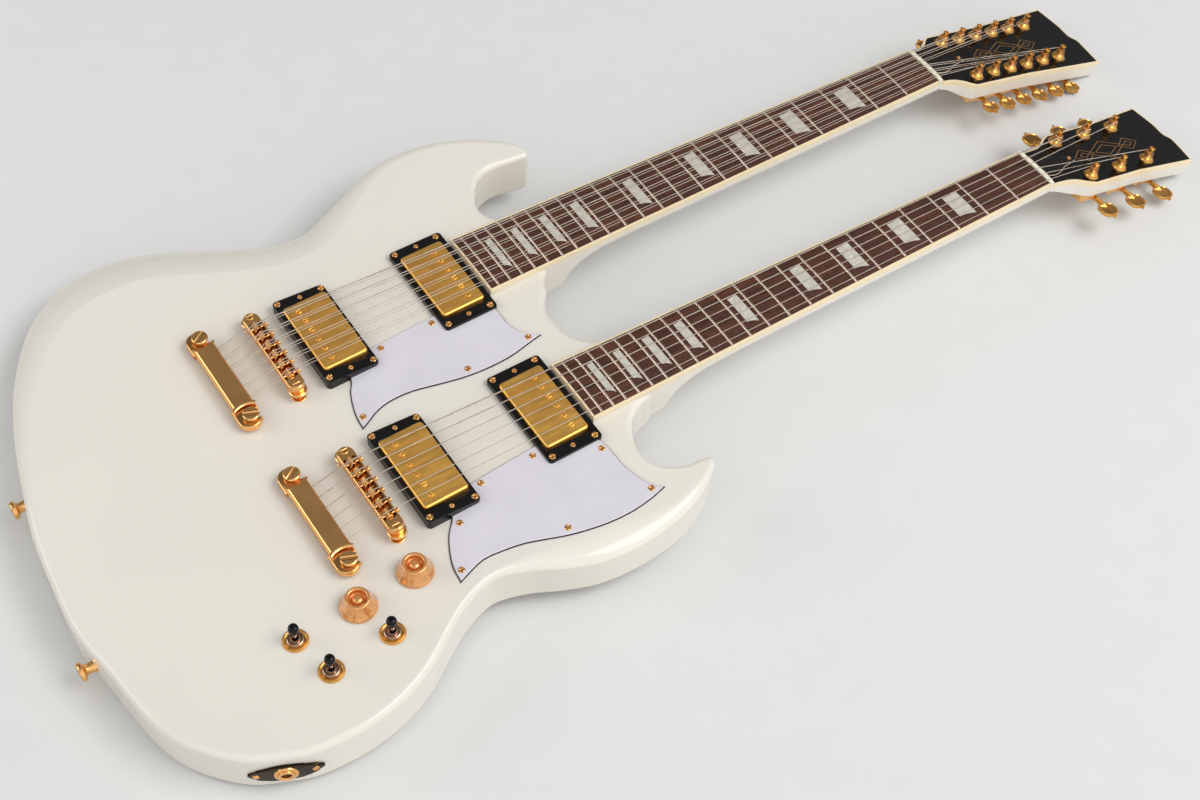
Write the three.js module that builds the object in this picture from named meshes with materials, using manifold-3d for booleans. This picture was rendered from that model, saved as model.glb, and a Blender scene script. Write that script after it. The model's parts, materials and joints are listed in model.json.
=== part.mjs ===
// Double-neck electric guitar lying on its back, in millimetres, +X along the fretboards to the
// heads, +Y towards the twelve-string neck, +Z up.
import * as THREE from 'three';
import Module from 'manifold-3d';

const wasm = await Module();
wasm.setup();

// Strings and frets
const scaleLength = 628;
const saddleSetback = 1.5;
const neckSpacing = 143.6;
const fretCount = 22;
const courses = 6;
const fretHeight = 1;
const fretWidth = 2.4;
const boardThickness = 5.5;
const boardBeyondFret = 8.5;
const nutLength = 4.5;
const nutHeight = 1.3;
const nutHalfSix = 21.5;
const nutHalfTwelve = 22.7;
const endHalfSix = 28.9;
const endHalfTwelve = 30.6;
const stringRadius = 0.4;
const nutSpread = 35.5;
const saddleSpread = 51;
const nutPairGap = 2.3;
const saddlePairGap = 2.6;
const saddleLevel = 3.6;

// Clearances: between still neighbours, round a turning shaft, and how far a cut overruns
const seatGap = 0.3;
const turnGap = 0.4;
const overrun = 2;
const sink = 0.5;

// Body
const bodyThickness = 40;
const tailReach = 436;
const boardOnBody = 49.5;
const upperWing = 163.4;
const lowerWing = 151.5;
const edgeRound = 5;
const bevelWidth = 38;
const bevelSlopeShare = 0.24;
const bevelFlatShare = 0.7;
const outlineSteps = 2;

// Body outline, clockwise from the tail. Each row holds the distance ahead of the hinge line as a
// share of tailReach, the distance across as a share of the width named beside the table, and how
// much of the full bevel the edge has.
const tailShares = [
  [-1, 0.1, 0], [-0.995, 0.42, 0.02], [-0.984, 0.7, 0.05], [-0.963, 0.97, 0.1],
];
const upperShares = [
  [-0.931, 0.266, 0.22], [-0.888, 0.541, 0.43], [-0.826, 0.792, 0.7], [-0.784, 0.896, 0.83],
  [-0.734, 0.969, 0.94], [-0.679, 1, 1], [-0.624, 0.994, 1], [-0.569, 0.951, 0.95],
  [-0.47, 0.81, 0.88], [-0.42, 0.737, 0.85], [-0.369, 0.682, 0.8], [-0.312, 0.666, 0.7],
  [-0.259, 0.718, 0.55], [-0.156, 0.835, 0.3], [-0.101, 0.865, 0.21], [-0.044, 0.859, 0.18],
  [0.009, 0.826, 0.15], [0.06, 0.758, 0.12], [0.106, 0.663, 0.06], [0.127, 0.59, 0],
  [0.133, 0.541, -0.04], [0.126, 0.503, -0.04], [0.106, 0.504, -0.03], [0.062, 0.52, 0],
  [0.039, 0.517, 0], [0.018, 0.495, 0], [0.002, 0.455, 0], [-0.011, 0.4, 0],
  [-0.021, 0.333, 0], [-0.018, 0.272, 0], [-0.005, 0.217, 0], [0.016, 0.174, 0],
  [0.021, 0.14, 0],
];
const cutawayShares = [
  [0.021, 0.845, 0], [0.011, 0.808, 0], [-0.009, 0.752, 0], [-0.021, 0.675, 0],
  [-0.037, 0.613, 0], [-0.046, 0.557, 0], [-0.048, 0.46, 0], [-0.044, 0.362, 0],
  [-0.032, 0.306, 0], [-0.018, 0.258, 0], [0, 0.223, 0], [0.016, 0.188, 0],
  [0.021, 0.15, 0],
];
const lowerShares = [
  [0.021, 0.142, 0], [0.014, 0.172, 0], [0, 0.191, 0], [-0.018, 0.205, 0],
  [-0.037, 0.231, 0], [-0.053, 0.271, 0], [-0.069, 0.343, 0], [-0.078, 0.429, 0],
  [-0.076, 0.495, 0], [-0.064, 0.554, 0], [-0.046, 0.594, 0], [-0.025, 0.62, 0],
  [-0.002, 0.627, 0], [0.014, 0.642, -0.04], [0.016, 0.672, -0.04], [-0.021, 0.759, 0.03],
  [-0.073, 0.825, 0.15], [-0.133, 0.855, 0.3], [-0.19, 0.858, 0.42], [-0.248, 0.835, 0.45],
  [-0.303, 0.776, 0.36], [-0.356, 0.703, 0.15], [-0.413, 0.663, 0], [-0.468, 0.71, 0],
  [-0.518, 0.795, 0], [-0.567, 0.888, 0], [-0.619, 0.954, 0], [-0.677, 0.993, 0],
  [-0.734, 1, 0], [-0.791, 0.98, 0], [-0.835, 0.931, 0], [-0.878, 0.868, 0],
  [-0.917, 0.762, 0], [-0.95, 0.627, 0], [-0.97, 0.469, 0], [-0.986, 0.165, 0],
];
const frontShare = 0.021;

// Necks, heels and tenons. Each heel row holds the place along the heel, the depth of its side
// wall and the depth of its middle, the last two as shares of heelDepth.
const neckDepthNut = 15.5;
const neckDepthHeel = 17;
const neckSideShare = 0.16;
const heelLength = 58;
const heelDepth = 33;
const heelShares = [
  [0.28, 0.14, 0.55], [0.53, 0.29, 0.6], [0.72, 0.53, 0.72], [0.84, 0.83, 0.92], [1, 0.91, 1],
];
const tenonLength = 53;
const tenonDepth = 24.5;
const tenonInset = 2;

// Heads. Each row of a half outline holds shares of the head's length and of its half width.
const headAngle = THREE.MathUtils.degToRad(13);
const headThickness = 15.5;
const headDrop = 3.5;
const headRun = 30;
const headLengthSix = 171;
const headLengthTwelve = 192.5;
const headHalfSix = 38;
const headHalfTwelve = 42;
const headSixShares = [
  [0, 0.56], [0.122, 0.592], [0.17, 0.66], [0.215, 0.776], [0.262, 0.863], [0.593, 0.868],
  [0.985, 1],
];
const headTwelveShares = [
  [0, 0.54], [0.07, 0.58], [0.114, 0.679], [0.14, 0.78], [0.166, 0.857], [0.519, 0.874],
  [0.99, 1],
];
const headTipShares = [[1, 0.32], [0.994, -0.03], [1.012, -0.21], [1.006, -0.5]];
const coverThickness = 1.8;
const coverLength = 45;
const coverHalf = 13;
const coverShares = [
  [0.04, 0.9], [0.2, 1], [0.42, 0.86], [0.6, 0.56], [0.8, 0.42], [1, 0.24],
];

// Machine heads. The posts' places along a head are shares of its length.
const firstPostSixShare = 0.269;
const firstPostTwelveShare = 0.213;
const postPitchSixShare = 0.2178;
const postPitchTwelveShare = 0.1143;
const postOutSix = 22.5;
const postOutTwelve = 24;
const postRadius = 3.1;
const postWaist = 2.6;
const postHeight = 16;
const postWaistHeight = 9;
const postDepth = 12.5;
const bushingRadius = 5.3;
const bushingHeight = 2.5;
const housingLength = 19;
const housingWidth = 15;
const housingDepth = 8.2;
const shaftOffset = 9;
const shaftRadius = 2;
const shaftEngage = 6;
const buttonCentre = 48.5;
const buttonLengthSix = 17;
const buttonLengthTwelve = 15.5;
const buttonHalfSix = 9.2;
const buttonHalfTwelve = 8;
const buttonThickness = 5.6;
const buttonShares = [
  [-0.5, 0.42, 0.8], [-0.32, 0.86, 1], [-0.05, 1, 1], [0.28, 0.92, 1], [0.45, 0.5, 0.85],
  [0.5, 0.2, 0.6],
];

// Pickups: ring, metal cover, pole screws and height screws
const ringLength = 88;
const ringWidth = 43;
const ringCorner = 3;
const ringWall = 0.75;
const ringHighBridge = 9.5;
const ringLowBridge = 5.6;
const ringHighNeck = 4.8;
const ringLowNeck = 4.2;
const coverWide = 67.5;
const coverDeep = 36.5;
const coverChamfer = 1.2;
const coverTopBridge = 11;
const coverTopNeck = 7.6;
const poleRadius = 2.4;
const poleHeight = 0.9;
const poleSpread = 50.5;
const poleOffset = 8;
const pickupDepth = 14;
const baseThickness = 2;
const baseHalf = 41.4;
const baseWide = 30;
const heightScrewOut = 39.4;
const heightScrewRadius = 1.5;
const routDepth = 18;
const ringToBoard = 3.3;
const ringToSaddle = 21.7;

// Bridge
const barHalf = 41;
const barWidth = 13;
const barHeight = 6;
const barTop = 14.6;
const saddleWidth = 8;
const saddleDepth = 5.5;
const bridgeStudOut = 37;
const bridgeStudRadius = 3;
const wheelRadius = 7;
const wheelHeight = 2.4;
const studDepth = 9;

// Tailpiece
const tailpieceSetback = 39.4;
const tailpieceHalf = 50;
const tailpieceWidth = 17.5;
const tailpieceBottom = 2.6;
const tailpieceTop = 12.4;
const tailpieceStudOut = 41;
const tailStudRadius = 4;
const tailStudHead = 7;
const tailStudTop = 13.2;
const slotFloor = 4.6;
const slotRoof = 9.8;
const slotDeep = 9;
const anchorWidth = 3;
const anchorHeight = 2.4;

// Pickguards: across shares of guardReach measured from the neck's centre line, along shares of
// the distance between the two pickups, counted from the neck pickup
const guardThickness = 1.9;
const guardReachSix = 108.2;
const guardReachTwelve = 89.8;
const guardSixShares = [
  [0.06, 0.25], [-1.07, 0.25], [-1.041, 0.417], [-1.119, 0.504], [-1.186, 0.614],
  [-1.234, 0.734], [-1.25, 0.861], [-1.163, 0.831], [-1.023, 0.794], [-0.861, 0.806],
  [-0.711, 0.834], [-0.571, 0.881], [-0.432, 0.929], [-0.284, 0.965], [-0.128, 0.991],
  [0.043, 1], [0.215, 0.985], [0.374, 0.952], [0.303, 0.89], [0.255, 0.784], [0.224, 0.655],
  [0.222, 0.533], [0.2, 0.4],
];
const guardTwelveShares = [
  [0.06, 0.3], [-1.07, 0.3], [-1.051, 0.525], [-1.098, 0.609], [-1.141, 0.731],
  [-1.171, 0.86], [-1.181, 0.991], [-1.108, 0.952], [-1.026, 0.903], [-0.929, 0.872],
  [-0.82, 0.864], [-0.709, 0.875], [-0.584, 0.908], [-0.461, 0.943], [-0.335, 0.974],
  [-0.201, 0.994], [-0.059, 1], [0.079, 0.992], [0.232, 0.96], [0.372, 0.931],
  [0.255, 0.808], [0.215, 0.682], [0.214, 0.528], [0.2, 0.4],
];

// Controls: knobs and switches lie in rows below the six-string tailpiece. The first knob stands
// clear of the pickguard, the second one knobPitch behind it. Each switch row holds the distance
// behind the first knob as a share of knobPitch, and the distance below it as one of switchRow.
const knobToGuard = 8;
const knobPitch = 45.8;
const knobRadius = 13.5;
const knobTopRadius = 9;
const knobHeight = 12.6;
const knobSkirt = 2;
const knobStemRadius = 3;
const knobStemDepth = 7;
const knobClear = 4.8;
const knobStagger = 3;
const knobCount = 2;
const switchShares = [[2.046, 0.09], [1.845, 1], [0.799, 0.92]];
const switchRow = 36;
const washerRadius = 9.25;
const washerHeight = 1.2;
const switchNutRadius = 5.6;
const switchNutHeight = 4;
const switchBore = 2.7;
const switchBoreDepth = 6.4;
const leverPivot = 2.2;
const leverHeight = 16.6;
const leverRadius = 1.3;
const leverBall = 2.1;
const tipRadius = 3.75;
const tipLength = 7.5;

// Jack plate on the lower tail wall, strap buttons and back cover
const jackShare = 0.8976;
const jackHalf = 25.5;
const jackRise = 12.4;
const jackPlate = 1.6;
const jackSteps = 8;
const jackCurveShare = 0.8;
const ferruleRadius = 6;
const ferruleOut = 2.8;
const ferruleIn = 6;
const jackBore = 3.25;
const jackBoreDepth = 6.5;
const strapStem = 4;
const strapRadius = 7;
const strapReach = 11.5;
const strapAside = 4;
const strapBelow = 2;
const strapShares = [[0.45, 0.57], [0.7, 1], [0.9, 1], [1, 0.6]];
const coverPlate = 2;
const backCoverShares = [
  [-0.47, 0.3], [-0.62, 0.3], [-0.77, 0.36], [-0.79, 0.5], [-0.74, 0.76], [-0.68, 0.8],
  [-0.57, 0.74], [-0.48, 0.62], [-0.45, 0.46],
];

// How round the round pieces are
const fineSides = 16;
const midSides = 12;
const slimSides = 8;
const wireSides = 6;

const colours = {
  lacquer: { color: 0xe2dcd0, roughness: 0.2, metalness: 0 },
  rosewood: { color: 0x46301f, roughness: 0.5, metalness: 0 },
  guard: { color: 0xdcd7e4, roughness: 0.3, metalness: 0 },
  gold: { color: 0xd4a545, roughness: 0.25, metalness: 1 },
  chrome: { color: 0xd8d8dc, roughness: 0.15, metalness: 1 },
  steel: { color: 0xb9b4a8, roughness: 0.3, metalness: 1 },
  amber: { color: 0xb8741e, roughness: 0.2, metalness: 0 },
  black: { color: 0x111111, roughness: 0.4, metalness: 0 },
};

// Worked out from the sizes above. The six courses lie evenly, the first one farthest across.
const courseShares = Array.from({ length: courses }, (_, k) => 1 / 2 - k / (courses - 1));
const fretX = (fret) => -scaleLength * (1 - 2 ** (-fret / 12));
const boardEnd = fretX(fretCount) - boardBeyondFret;
const hingeX = boardEnd + boardOnBody;
const hingeZ = -boardThickness - seatGap;
const seatX = hingeX + frontShare * tailReach;
const headX = nutLength + seatGap + (boardThickness - headDrop) * Math.tan(headAngle);
const saddleX = -scaleLength - saddleSetback;
const neckPickupX = boardEnd - ringToBoard - ringWidth / 2;
const bridgePickupX = saddleX + ringToSaddle + ringWidth / 2;
const tailpieceX = saddleX - tailpieceSetback;
const knobRow = tailpieceHalf + knobRadius + knobClear;
const pickupSpan = neckPickupX - bridgePickupX;
const guardTail = Math.min(...guardSixShares.map(([along]) => along)) * pickupSpan;

const necks = [
  {
    tag: '12', y: neckSpacing, nutHalf: nutHalfTwelve, endHalf: endHalfTwelve,
    headLength: headLengthTwelve, headHalf: headHalfTwelve, headShares: headTwelveShares,
    posts: 6, firstPost: firstPostTwelveShare * headLengthTwelve,
    postPitch: postPitchTwelveShare * headLengthTwelve, postOut: postOutTwelve,
    buttonLength: buttonLengthTwelve, buttonHalf: buttonHalfTwelve, paired: true,
    guardReach: guardReachTwelve, guardShares: guardTwelveShares,
  },
  {
    tag: '6', y: 0, nutHalf: nutHalfSix, endHalf: endHalfSix,
    headLength: headLengthSix, headHalf: headHalfSix, headShares: headSixShares,
    posts: 3, firstPost: firstPostSixShare * headLengthSix,
    postPitch: postPitchSixShare * headLengthSix, postOut: postOutSix,
    buttonLength: buttonLengthSix, buttonHalf: buttonHalfSix, paired: false,
    guardReach: guardReachSix, guardShares: guardSixShares,
  },
];

// The heads lean back from the nut, and the body leans back from the hinge line until the tail
// lies on the same flat surface as the lowest machine head.
const headFrames = new Map(necks.map((neck) => [neck, new THREE.Matrix4()
  .makeRotationY(headAngle).setPosition(headX, neck.y, -headDrop)]));
const lastHousing = necks[0].firstPost + (necks[0].posts - 1) * necks[0].postPitch
  + shaftOffset + housingLength / 6;
const lowest = new THREE.Vector3(lastHousing, 0, -headThickness - housingDepth)
  .applyMatrix4(headFrames.get(necks[0])).z;
const backReach = tailReach - edgeRound;
const bodyTilt = Math.asin((hingeZ - lowest) / Math.hypot(backReach, bodyThickness))
  - Math.atan2(bodyThickness, backReach);
const bodyFrame = new THREE.Matrix4().makeRotationY(-bodyTilt).setPosition(hingeX, 0, hingeZ);

// Places along the tilted body, and where the strings break over the saddles there
const onBodyX = (x) => (x - hingeX) / Math.cos(bodyTilt);
const firstKnobX = onBodyX(neckPickupX) + guardTail - knobToGuard - knobRadius;
const saddlePoint = new THREE.Vector3(saddleX, 0, saddleLevel)
  .applyMatrix4(bodyFrame.clone().invert());

// A closed skin over rings of equal length, its ends filled flat and its faces turned outwards
function loft(rings) {
  const count = rings[0].length;
  const points = rings.flat();
  const index = [];
  for (let ring = 0; ring + 1 < rings.length; ring += 1) {
    for (let k = 0; k < count; k += 1) {
      const a = ring * count + k;
      const b = ring * count + (k + 1) % count;
      index.push(a, b, a + count, b, b + count, a + count);
    }
  }
  const last = rings.length - 1;
  index.push(...capOf(rings[0], 0, false), ...capOf(rings[last], last * count, true));
  let volume = 0;
  for (let k = 0; k < index.length; k += 3) {
    const [a, b, c] = [points[index[k]], points[index[k + 1]], points[index[k + 2]]];
    volume += a.dot(new THREE.Vector3().crossVectors(b, c));
  }
  if (volume < 0) index.reverse();
  const geometry = new THREE.BufferGeometry().setFromPoints(points);
  geometry.setIndex(index);
  return geometry;
}

function capOf(ring, offset, along) {
  const normal = new THREE.Vector3();
  ring.forEach((point, k) => {
    normal.add(new THREE.Vector3().crossVectors(point, ring[(k + 1) % ring.length]));
  });
  const size = [Math.abs(normal.x), Math.abs(normal.y), Math.abs(normal.z)];
  const flat = size.indexOf(Math.max(...size));
  const drawn = ring.map((p) => new THREE.Vector2(...p.toArray().filter((_, k) => k !== flat)));
  const faces = THREE.ShapeUtils.triangulateShape(drawn, []);
  if (faces.length !== ring.length - 2) throw new Error('an end face lost a corner');
  return faces.flatMap(([a, b, c]) => {
    const side = new THREE.Vector3().crossVectors(
      ring[b].clone().sub(ring[a]), ring[c].clone().sub(ring[a]));
    const turned = side.dot(normal) > 0 === along;
    return (turned ? [a, b, c] : [a, c, b]).map((k) => k + offset);
  });
}

// Solids by their outline [x, y] between two heights, by half profile [radius, z] round Z, and a
// box by its two corners
const prism = (outline, bottom, top) => loft([bottom, top].map(
  (z) => outline.map(([x, y]) => new THREE.Vector3(x, y, z))));

function turned(profile, sides) {
  return loft(profile.map(([radius, z]) => Array.from({ length: sides }, (_, k) => {
    const angle = (2 * Math.PI * (k + 0.5)) / sides;
    return new THREE.Vector3(radius * Math.cos(angle), radius * Math.sin(angle), z);
  })));
}

const box = (low, high) => prism([
  [low[0], low[1]], [high[0], low[1]], [high[0], high[1]], [low[0], high[1]]], low[2], high[2]);

const at = (geometry, x, y, z) => geometry.translate(x, y, z);

// An outline from side to side, extruded across: points [x, z] between two places along Y
const slab = (profile, from, to) => loft([from, to].map(
  (y) => profile.map(([x, z]) => new THREE.Vector3(x, y, z))));

function solid(geometry) {
  const vertProperties = new Float32Array(geometry.getAttribute('position').array);
  const triVerts = new Uint32Array(geometry.getIndex().array);
  return new wasm.Manifold(new wasm.Mesh({ numProp: 3, vertProperties, triVerts }));
}

function shapeOf(manifold) {
  const mesh = manifold.getMesh();
  const geometry = new THREE.BufferGeometry();
  geometry.setAttribute('position', new THREE.BufferAttribute(mesh.vertProperties, mesh.numProp));
  geometry.setIndex(new THREE.BufferAttribute(mesh.triVerts, 1));
  return geometry;
}

const joined = (pieces, cuts = []) => shapeOf(cuts.reduce(
  (whole, cut) => whole.subtract(solid(cut)),
  pieces.slice(1).reduce((whole, piece) => whole.add(solid(piece)), solid(pieces[0]))));

function named(name, geometry, look) {
  geometry.computeVertexNormals();
  const mesh = new THREE.Mesh(geometry, new THREE.MeshStandardMaterial(colours[look]));
  mesh.name = name;
  return mesh;
}

// Body
function outlineCurve() {
  const rows = (shares, across) => shares.map(([along, side, bevel]) => new THREE.Vector3(
    along * tailReach, across(side), edgeRound + bevel * (bevelWidth - edgeRound)));
  return new THREE.CatmullRomCurve3([
    ...rows(tailShares, (share) => share * neckSpacing),
    ...rows(upperShares, (share) => neckSpacing + share * upperWing),
    ...rows(cutawayShares, (share) => share * neckSpacing),
    ...rows(lowerShares, (share) => -share * lowerWing),
  ], true, 'centripetal');
}

function bodyBlock() {
  const curve = outlineCurve();
  const count = curve.points.length * outlineSteps;
  const spots = Array.from({ length: count }, (_, k) => {
    const spot = curve.getPoint(k / count);
    const ahead = curve.getTangent(k / count).setZ(0).normalize();
    return { x: spot.x, y: spot.y, inX: ahead.y, inY: -ahead.x, width: spot.z };
  });
  const ring = (place) => spots.map((spot) => {
    const [inset, z] = place(spot.width);
    return new THREE.Vector3(spot.x + inset * spot.inX, spot.y + inset * spot.inY, z);
  });
  const under = (quarter) => (width) => {
    const round = Math.min(edgeRound, width);
    return [
      round * (1 - Math.cos(quarter)), -bodyThickness + round * (1 - Math.sin(quarter)),
    ];
  };
  const over = (quarter) => (width) => {
    const wide = Math.max(0, width - edgeRound);
    const flat = bevelFlatShare * wide / (bevelWidth - edgeRound);
    const steady = quarter / (Math.PI / 2);
    const depth = width - wide * (1 - bevelSlopeShare);
    return [
      width * ((1 - Math.cos(quarter)) * (1 - flat) + steady * flat),
      -depth * ((1 - Math.sin(quarter)) * (1 - flat) + (1 - steady) * flat),
    ];
  };
  return loft([
    ring(under(Math.PI / 2)), ring(under(Math.PI / 4)), ring(under(0)),
    ring(over(0)), ring(over(Math.PI / 6)), ring(over(Math.PI / 3)), ring(over(Math.PI / 2)),
  ]).applyMatrix4(bodyFrame);
}

const halfAt = (neck, x) => neck.nutHalf + (neck.endHalf - neck.nutHalf) * (x / boardEnd);
const inBody = (geometry) => geometry.applyMatrix4(bodyFrame);
const pickupPlaces = [['neck', neckPickupX], ['bridge', bridgePickupX]];

const knobPlace = (k) => [firstKnobX - k * knobPitch, -(knobRow + k * knobStagger)];

function switchPlace([back, down]) {
  return [firstKnobX - back * knobPitch, -(knobRow + down * switchRow)];
}

// A frame that stands on the body's wall at the jack: Z out of the wall, X along it
function wallFrame(share) {
  const curve = outlineCurve();
  const spot = curve.getPointAt(share);
  const ahead = curve.getTangentAt(share).setZ(0).normalize();
  const out = new THREE.Vector3(-ahead.y, ahead.x, 0);
  const across = new THREE.Vector3().crossVectors(out, ahead);
  return new THREE.Matrix4().makeBasis(ahead, across, out)
    .setPosition(spot.x, spot.y, -bodyThickness / 2);
}

function strapButton(y) {
  const profile = [[strapStem, -overrun],
    ...strapShares.map(([out, wide]) => [wide * strapRadius, out * strapReach])];
  const curve = outlineCurve();
  const tail = curve.getPoints(curve.points.length * slimSides)
    .filter((spot) => spot.x < -tailReach / 2)
    .reduce((best, spot) => (Math.abs(spot.y - y) < Math.abs(best.y - y) ? spot : best));
  return at(turned(profile, midSides).rotateY(-Math.PI / 2), tail.x, y,
    -bodyThickness / 2 - strapBelow);
}

function body() {
  const pieces = [bodyBlock()];
  const cuts = [];
  for (const neck of necks) {
    pieces.push(inBody(strapButton(neck.y - strapAside)));
    const half = halfAt(neck, seatX) + seatGap;
    const slot = half - tenonInset;
    cuts.push(box([seatX - seatGap, neck.y - half, hingeZ - bodyThickness - overrun],
      [seatX + tenonLength, neck.y + half, overrun]));
    cuts.push(box([seatX - tenonLength - seatGap, neck.y - slot,
      -boardThickness - tenonDepth - seatGap], [seatX + overrun, neck.y + slot, overrun]));
    for (const [, x] of pickupPlaces) {
      const [deep, wide] = [coverDeep / 2 + ringWall + seatGap, baseHalf + seatGap];
      cuts.push(inBody(at(box([-deep, -wide, -routDepth], [deep, wide, overrun]),
        onBodyX(x), neck.y, 0)));
    }
    for (const side of [-1, 1]) {
      const hole = (radius, depth) => turned([[radius, -depth], [radius, overrun]], slimSides);
      cuts.push(inBody(at(hole(bridgeStudRadius + seatGap, studDepth + seatGap),
        saddlePoint.x, neck.y + side * bridgeStudOut, 0)));
      cuts.push(inBody(at(hole(tailStudRadius + seatGap, studDepth + seatGap),
        onBodyX(tailpieceX), neck.y + side * tailpieceStudOut, 0)));
    }
  }
  for (let k = 0; k < knobCount; k += 1) {
    const stem = knobStemRadius + turnGap;
    cuts.push(inBody(at(turned([[stem, -knobStemDepth - seatGap], [stem, overrun]], midSides),
      ...knobPlace(k), 0)));
  }
  for (const place of switchShares) {
    const spot = [...switchPlace(place), 0];
    pieces.push(inBody(at(turned([[washerRadius, -sink], [washerRadius, washerHeight]],
      fineSides), ...spot)));
    pieces.push(inBody(at(turned([[switchNutRadius, washerHeight - sink],
      [switchNutRadius, washerHeight + switchNutHeight]], wireSides * 2), ...spot)));
    const top = washerHeight + switchNutHeight;
    cuts.push(inBody(at(turned([[switchBore, top - switchBoreDepth],
      [switchBore, top + overrun]], midSides), ...spot)));
  }
  const socket = turned([[ferruleRadius + seatGap, -ferruleIn - seatGap],
    [ferruleRadius + seatGap, overrun]], midSides);
  cuts.push(inBody(socket.applyMatrix4(wallFrame(jackShare))));
  cuts.push(inBody(prism(backCoverOutline(seatGap), -bodyThickness - overrun,
    -bodyThickness + coverPlate + seatGap)));
  return named('body', joined(pieces, cuts), 'lacquer');
}

function backCoverOutline(grow) {
  const points = backCoverShares.map(([along, down]) => new THREE.Vector2(
    along * tailReach, -down * lowerWing));
  const middle = points.reduce((sum, point) => sum.add(point), new THREE.Vector2())
    .divideScalar(points.length);
  return points.map((point) => {
    const away = point.clone().sub(middle);
    return point.clone().add(away.setLength(grow * 2)).toArray();
  });
}

// Neck: head blend, shaft, heel and tenon in one run, head plate, machine head housings
function neckSection(neck, x, half, side, centre, frame, top = -boardThickness) {
  const ring = [new THREE.Vector3(x, half, top), new THREE.Vector3(x, -half, top)];
  for (let k = 0; k <= slimSides; k += 1) {
    const angle = (Math.PI * k) / slimSides;
    ring.push(new THREE.Vector3(x, -half * Math.cos(angle),
      top - side - (centre - side) * Math.sin(angle)));
  }
  ring.forEach((point) => (frame ? point.applyMatrix4(frame) : point.setY(point.y + neck.y)));
  return ring;
}

function neckRun(neck) {
  const heelStart = seatX + heelLength;
  const plain = (x) => {
    const depth = neckDepthNut + (neckDepthHeel - neckDepthNut) * (x / heelStart);
    return neckSection(neck, x, halfAt(neck, x), depth * neckSideShare, depth);
  };
  const heel = heelShares.map(([along, side, centre]) => {
    const x = heelStart - along * heelLength;
    return neckSection(neck, x, halfAt(neck, x), side * heelDepth, centre * heelDepth);
  });
  const tenonHalf = halfAt(neck, seatX) - tenonInset;
  const tenonSide = tenonDepth - edgeRound;
  const blend = headThickness - 2 * sink;
  return loft([
    neckSection(neck, headRun, neck.nutHalf * 0.7, blend * neckSideShare, blend,
      headFrames.get(neck), -sink),
    plain(nutLength), plain(0), plain(heelStart / 2), plain(heelStart), ...heel,
    neckSection(neck, seatX, tenonHalf, tenonSide, tenonDepth),
    neckSection(neck, seatX - tenonLength, tenonHalf, tenonSide, tenonDepth),
  ]);
}

function headOutline(neck) {
  const place = (shares, side) => shares.map(([along, across]) => [
    along * neck.headLength, side * across * neck.headHalf]);
  return [
    ...place(neck.headShares, 1), ...place(headTipShares, 1),
    ...place([...neck.headShares].reverse(), -1),
  ];
}

function tuners(neck) {
  return [-1, 1].flatMap((side) => Array.from({ length: neck.posts }, (_, k) => (
    { side, k, along: neck.firstPost + k * neck.postPitch, out: side * neck.postOut })));
}

function neckPiece(neck) {
  const frame = headFrames.get(neck);
  const inHead = (geometry) => geometry.applyMatrix4(frame);
  const coverHalves = coverShares.map(([along, across]) => [
    along * coverLength, across * coverHalf]);
  const coverOutline = [...coverHalves,
    ...[...coverHalves].reverse().map(([x, y]) => [x, -y])];
  const pieces = [
    neckRun(neck),
    inHead(prism(headOutline(neck), -headThickness, 0)),
    inHead(prism(coverOutline, -sink, coverThickness)),
  ];
  const cuts = [];
  for (const { side, along, out } of tuners(neck)) {
    const start = along + shaftOffset - housingLength * 5 / 6;
    pieces.push(inHead(box([start, out - housingWidth / 2, -headThickness - housingDepth],
      [start + housingLength, out + housingWidth / 2, -headThickness + sink])));
    pieces.push(inHead(at(turned([[bushingRadius, -sink], [bushingRadius, bushingHeight]],
      slimSides), along, out, 0)));
    const bore = postRadius + turnGap;
    cuts.push(inHead(at(turned([[bore, -postDepth - seatGap],
      [bore, bushingHeight + overrun]], slimSides), along, out, 0)));
    const shaft = shaftRadius + turnGap;
    const reach = turned([[shaft, -shaftEngage - seatGap], [shaft, overrun]], slimSides);
    cuts.push(inHead(at(reach.rotateX(-side * Math.PI / 2), along + shaftOffset,
      out + side * housingWidth / 2, -headThickness - housingDepth / 2)));
  }
  return named(`neck_${neck.tag}`, joined(pieces, cuts), 'lacquer');
}

// Fretboard with its frets and nut, drawn from the side and widened towards the body
function fretboard(neck) {
  const profile = [
    [nutLength, -boardThickness], [nutLength, nutHeight - nutLength / 6], [0, nutHeight], [0, 0],
  ];
  for (let fret = 1; fret <= fretCount; fret += 1) {
    const x = fretX(fret);
    profile.push([x + fretWidth / 2, 0], [x + fretWidth / 4, fretHeight],
      [x - fretWidth / 4, fretHeight], [x - fretWidth / 2, 0]);
  }
  profile.push([boardEnd, 0], [boardEnd, -boardThickness]);
  const edge = (side) => profile.map(([x, z]) => new THREE.Vector3(
    x, neck.y + side * halfAt(neck, x), z));
  return named(`fretboard_${neck.tag}`, loft([edge(-1), edge(1)]), 'rosewood');
}

// Pickup: sloping ring, cover, six pole screws, and a base plate hung from two height screws
function ringOutline(long, wide, corner) {
  const [x, y] = [wide / 2, long / 2];
  return [
    [x - corner, y], [corner - x, y], [-x, y - corner], [-x, corner - y],
    [corner - x, -y], [x - corner, -y], [x, corner - y], [x, y - corner],
  ];
}

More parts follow.
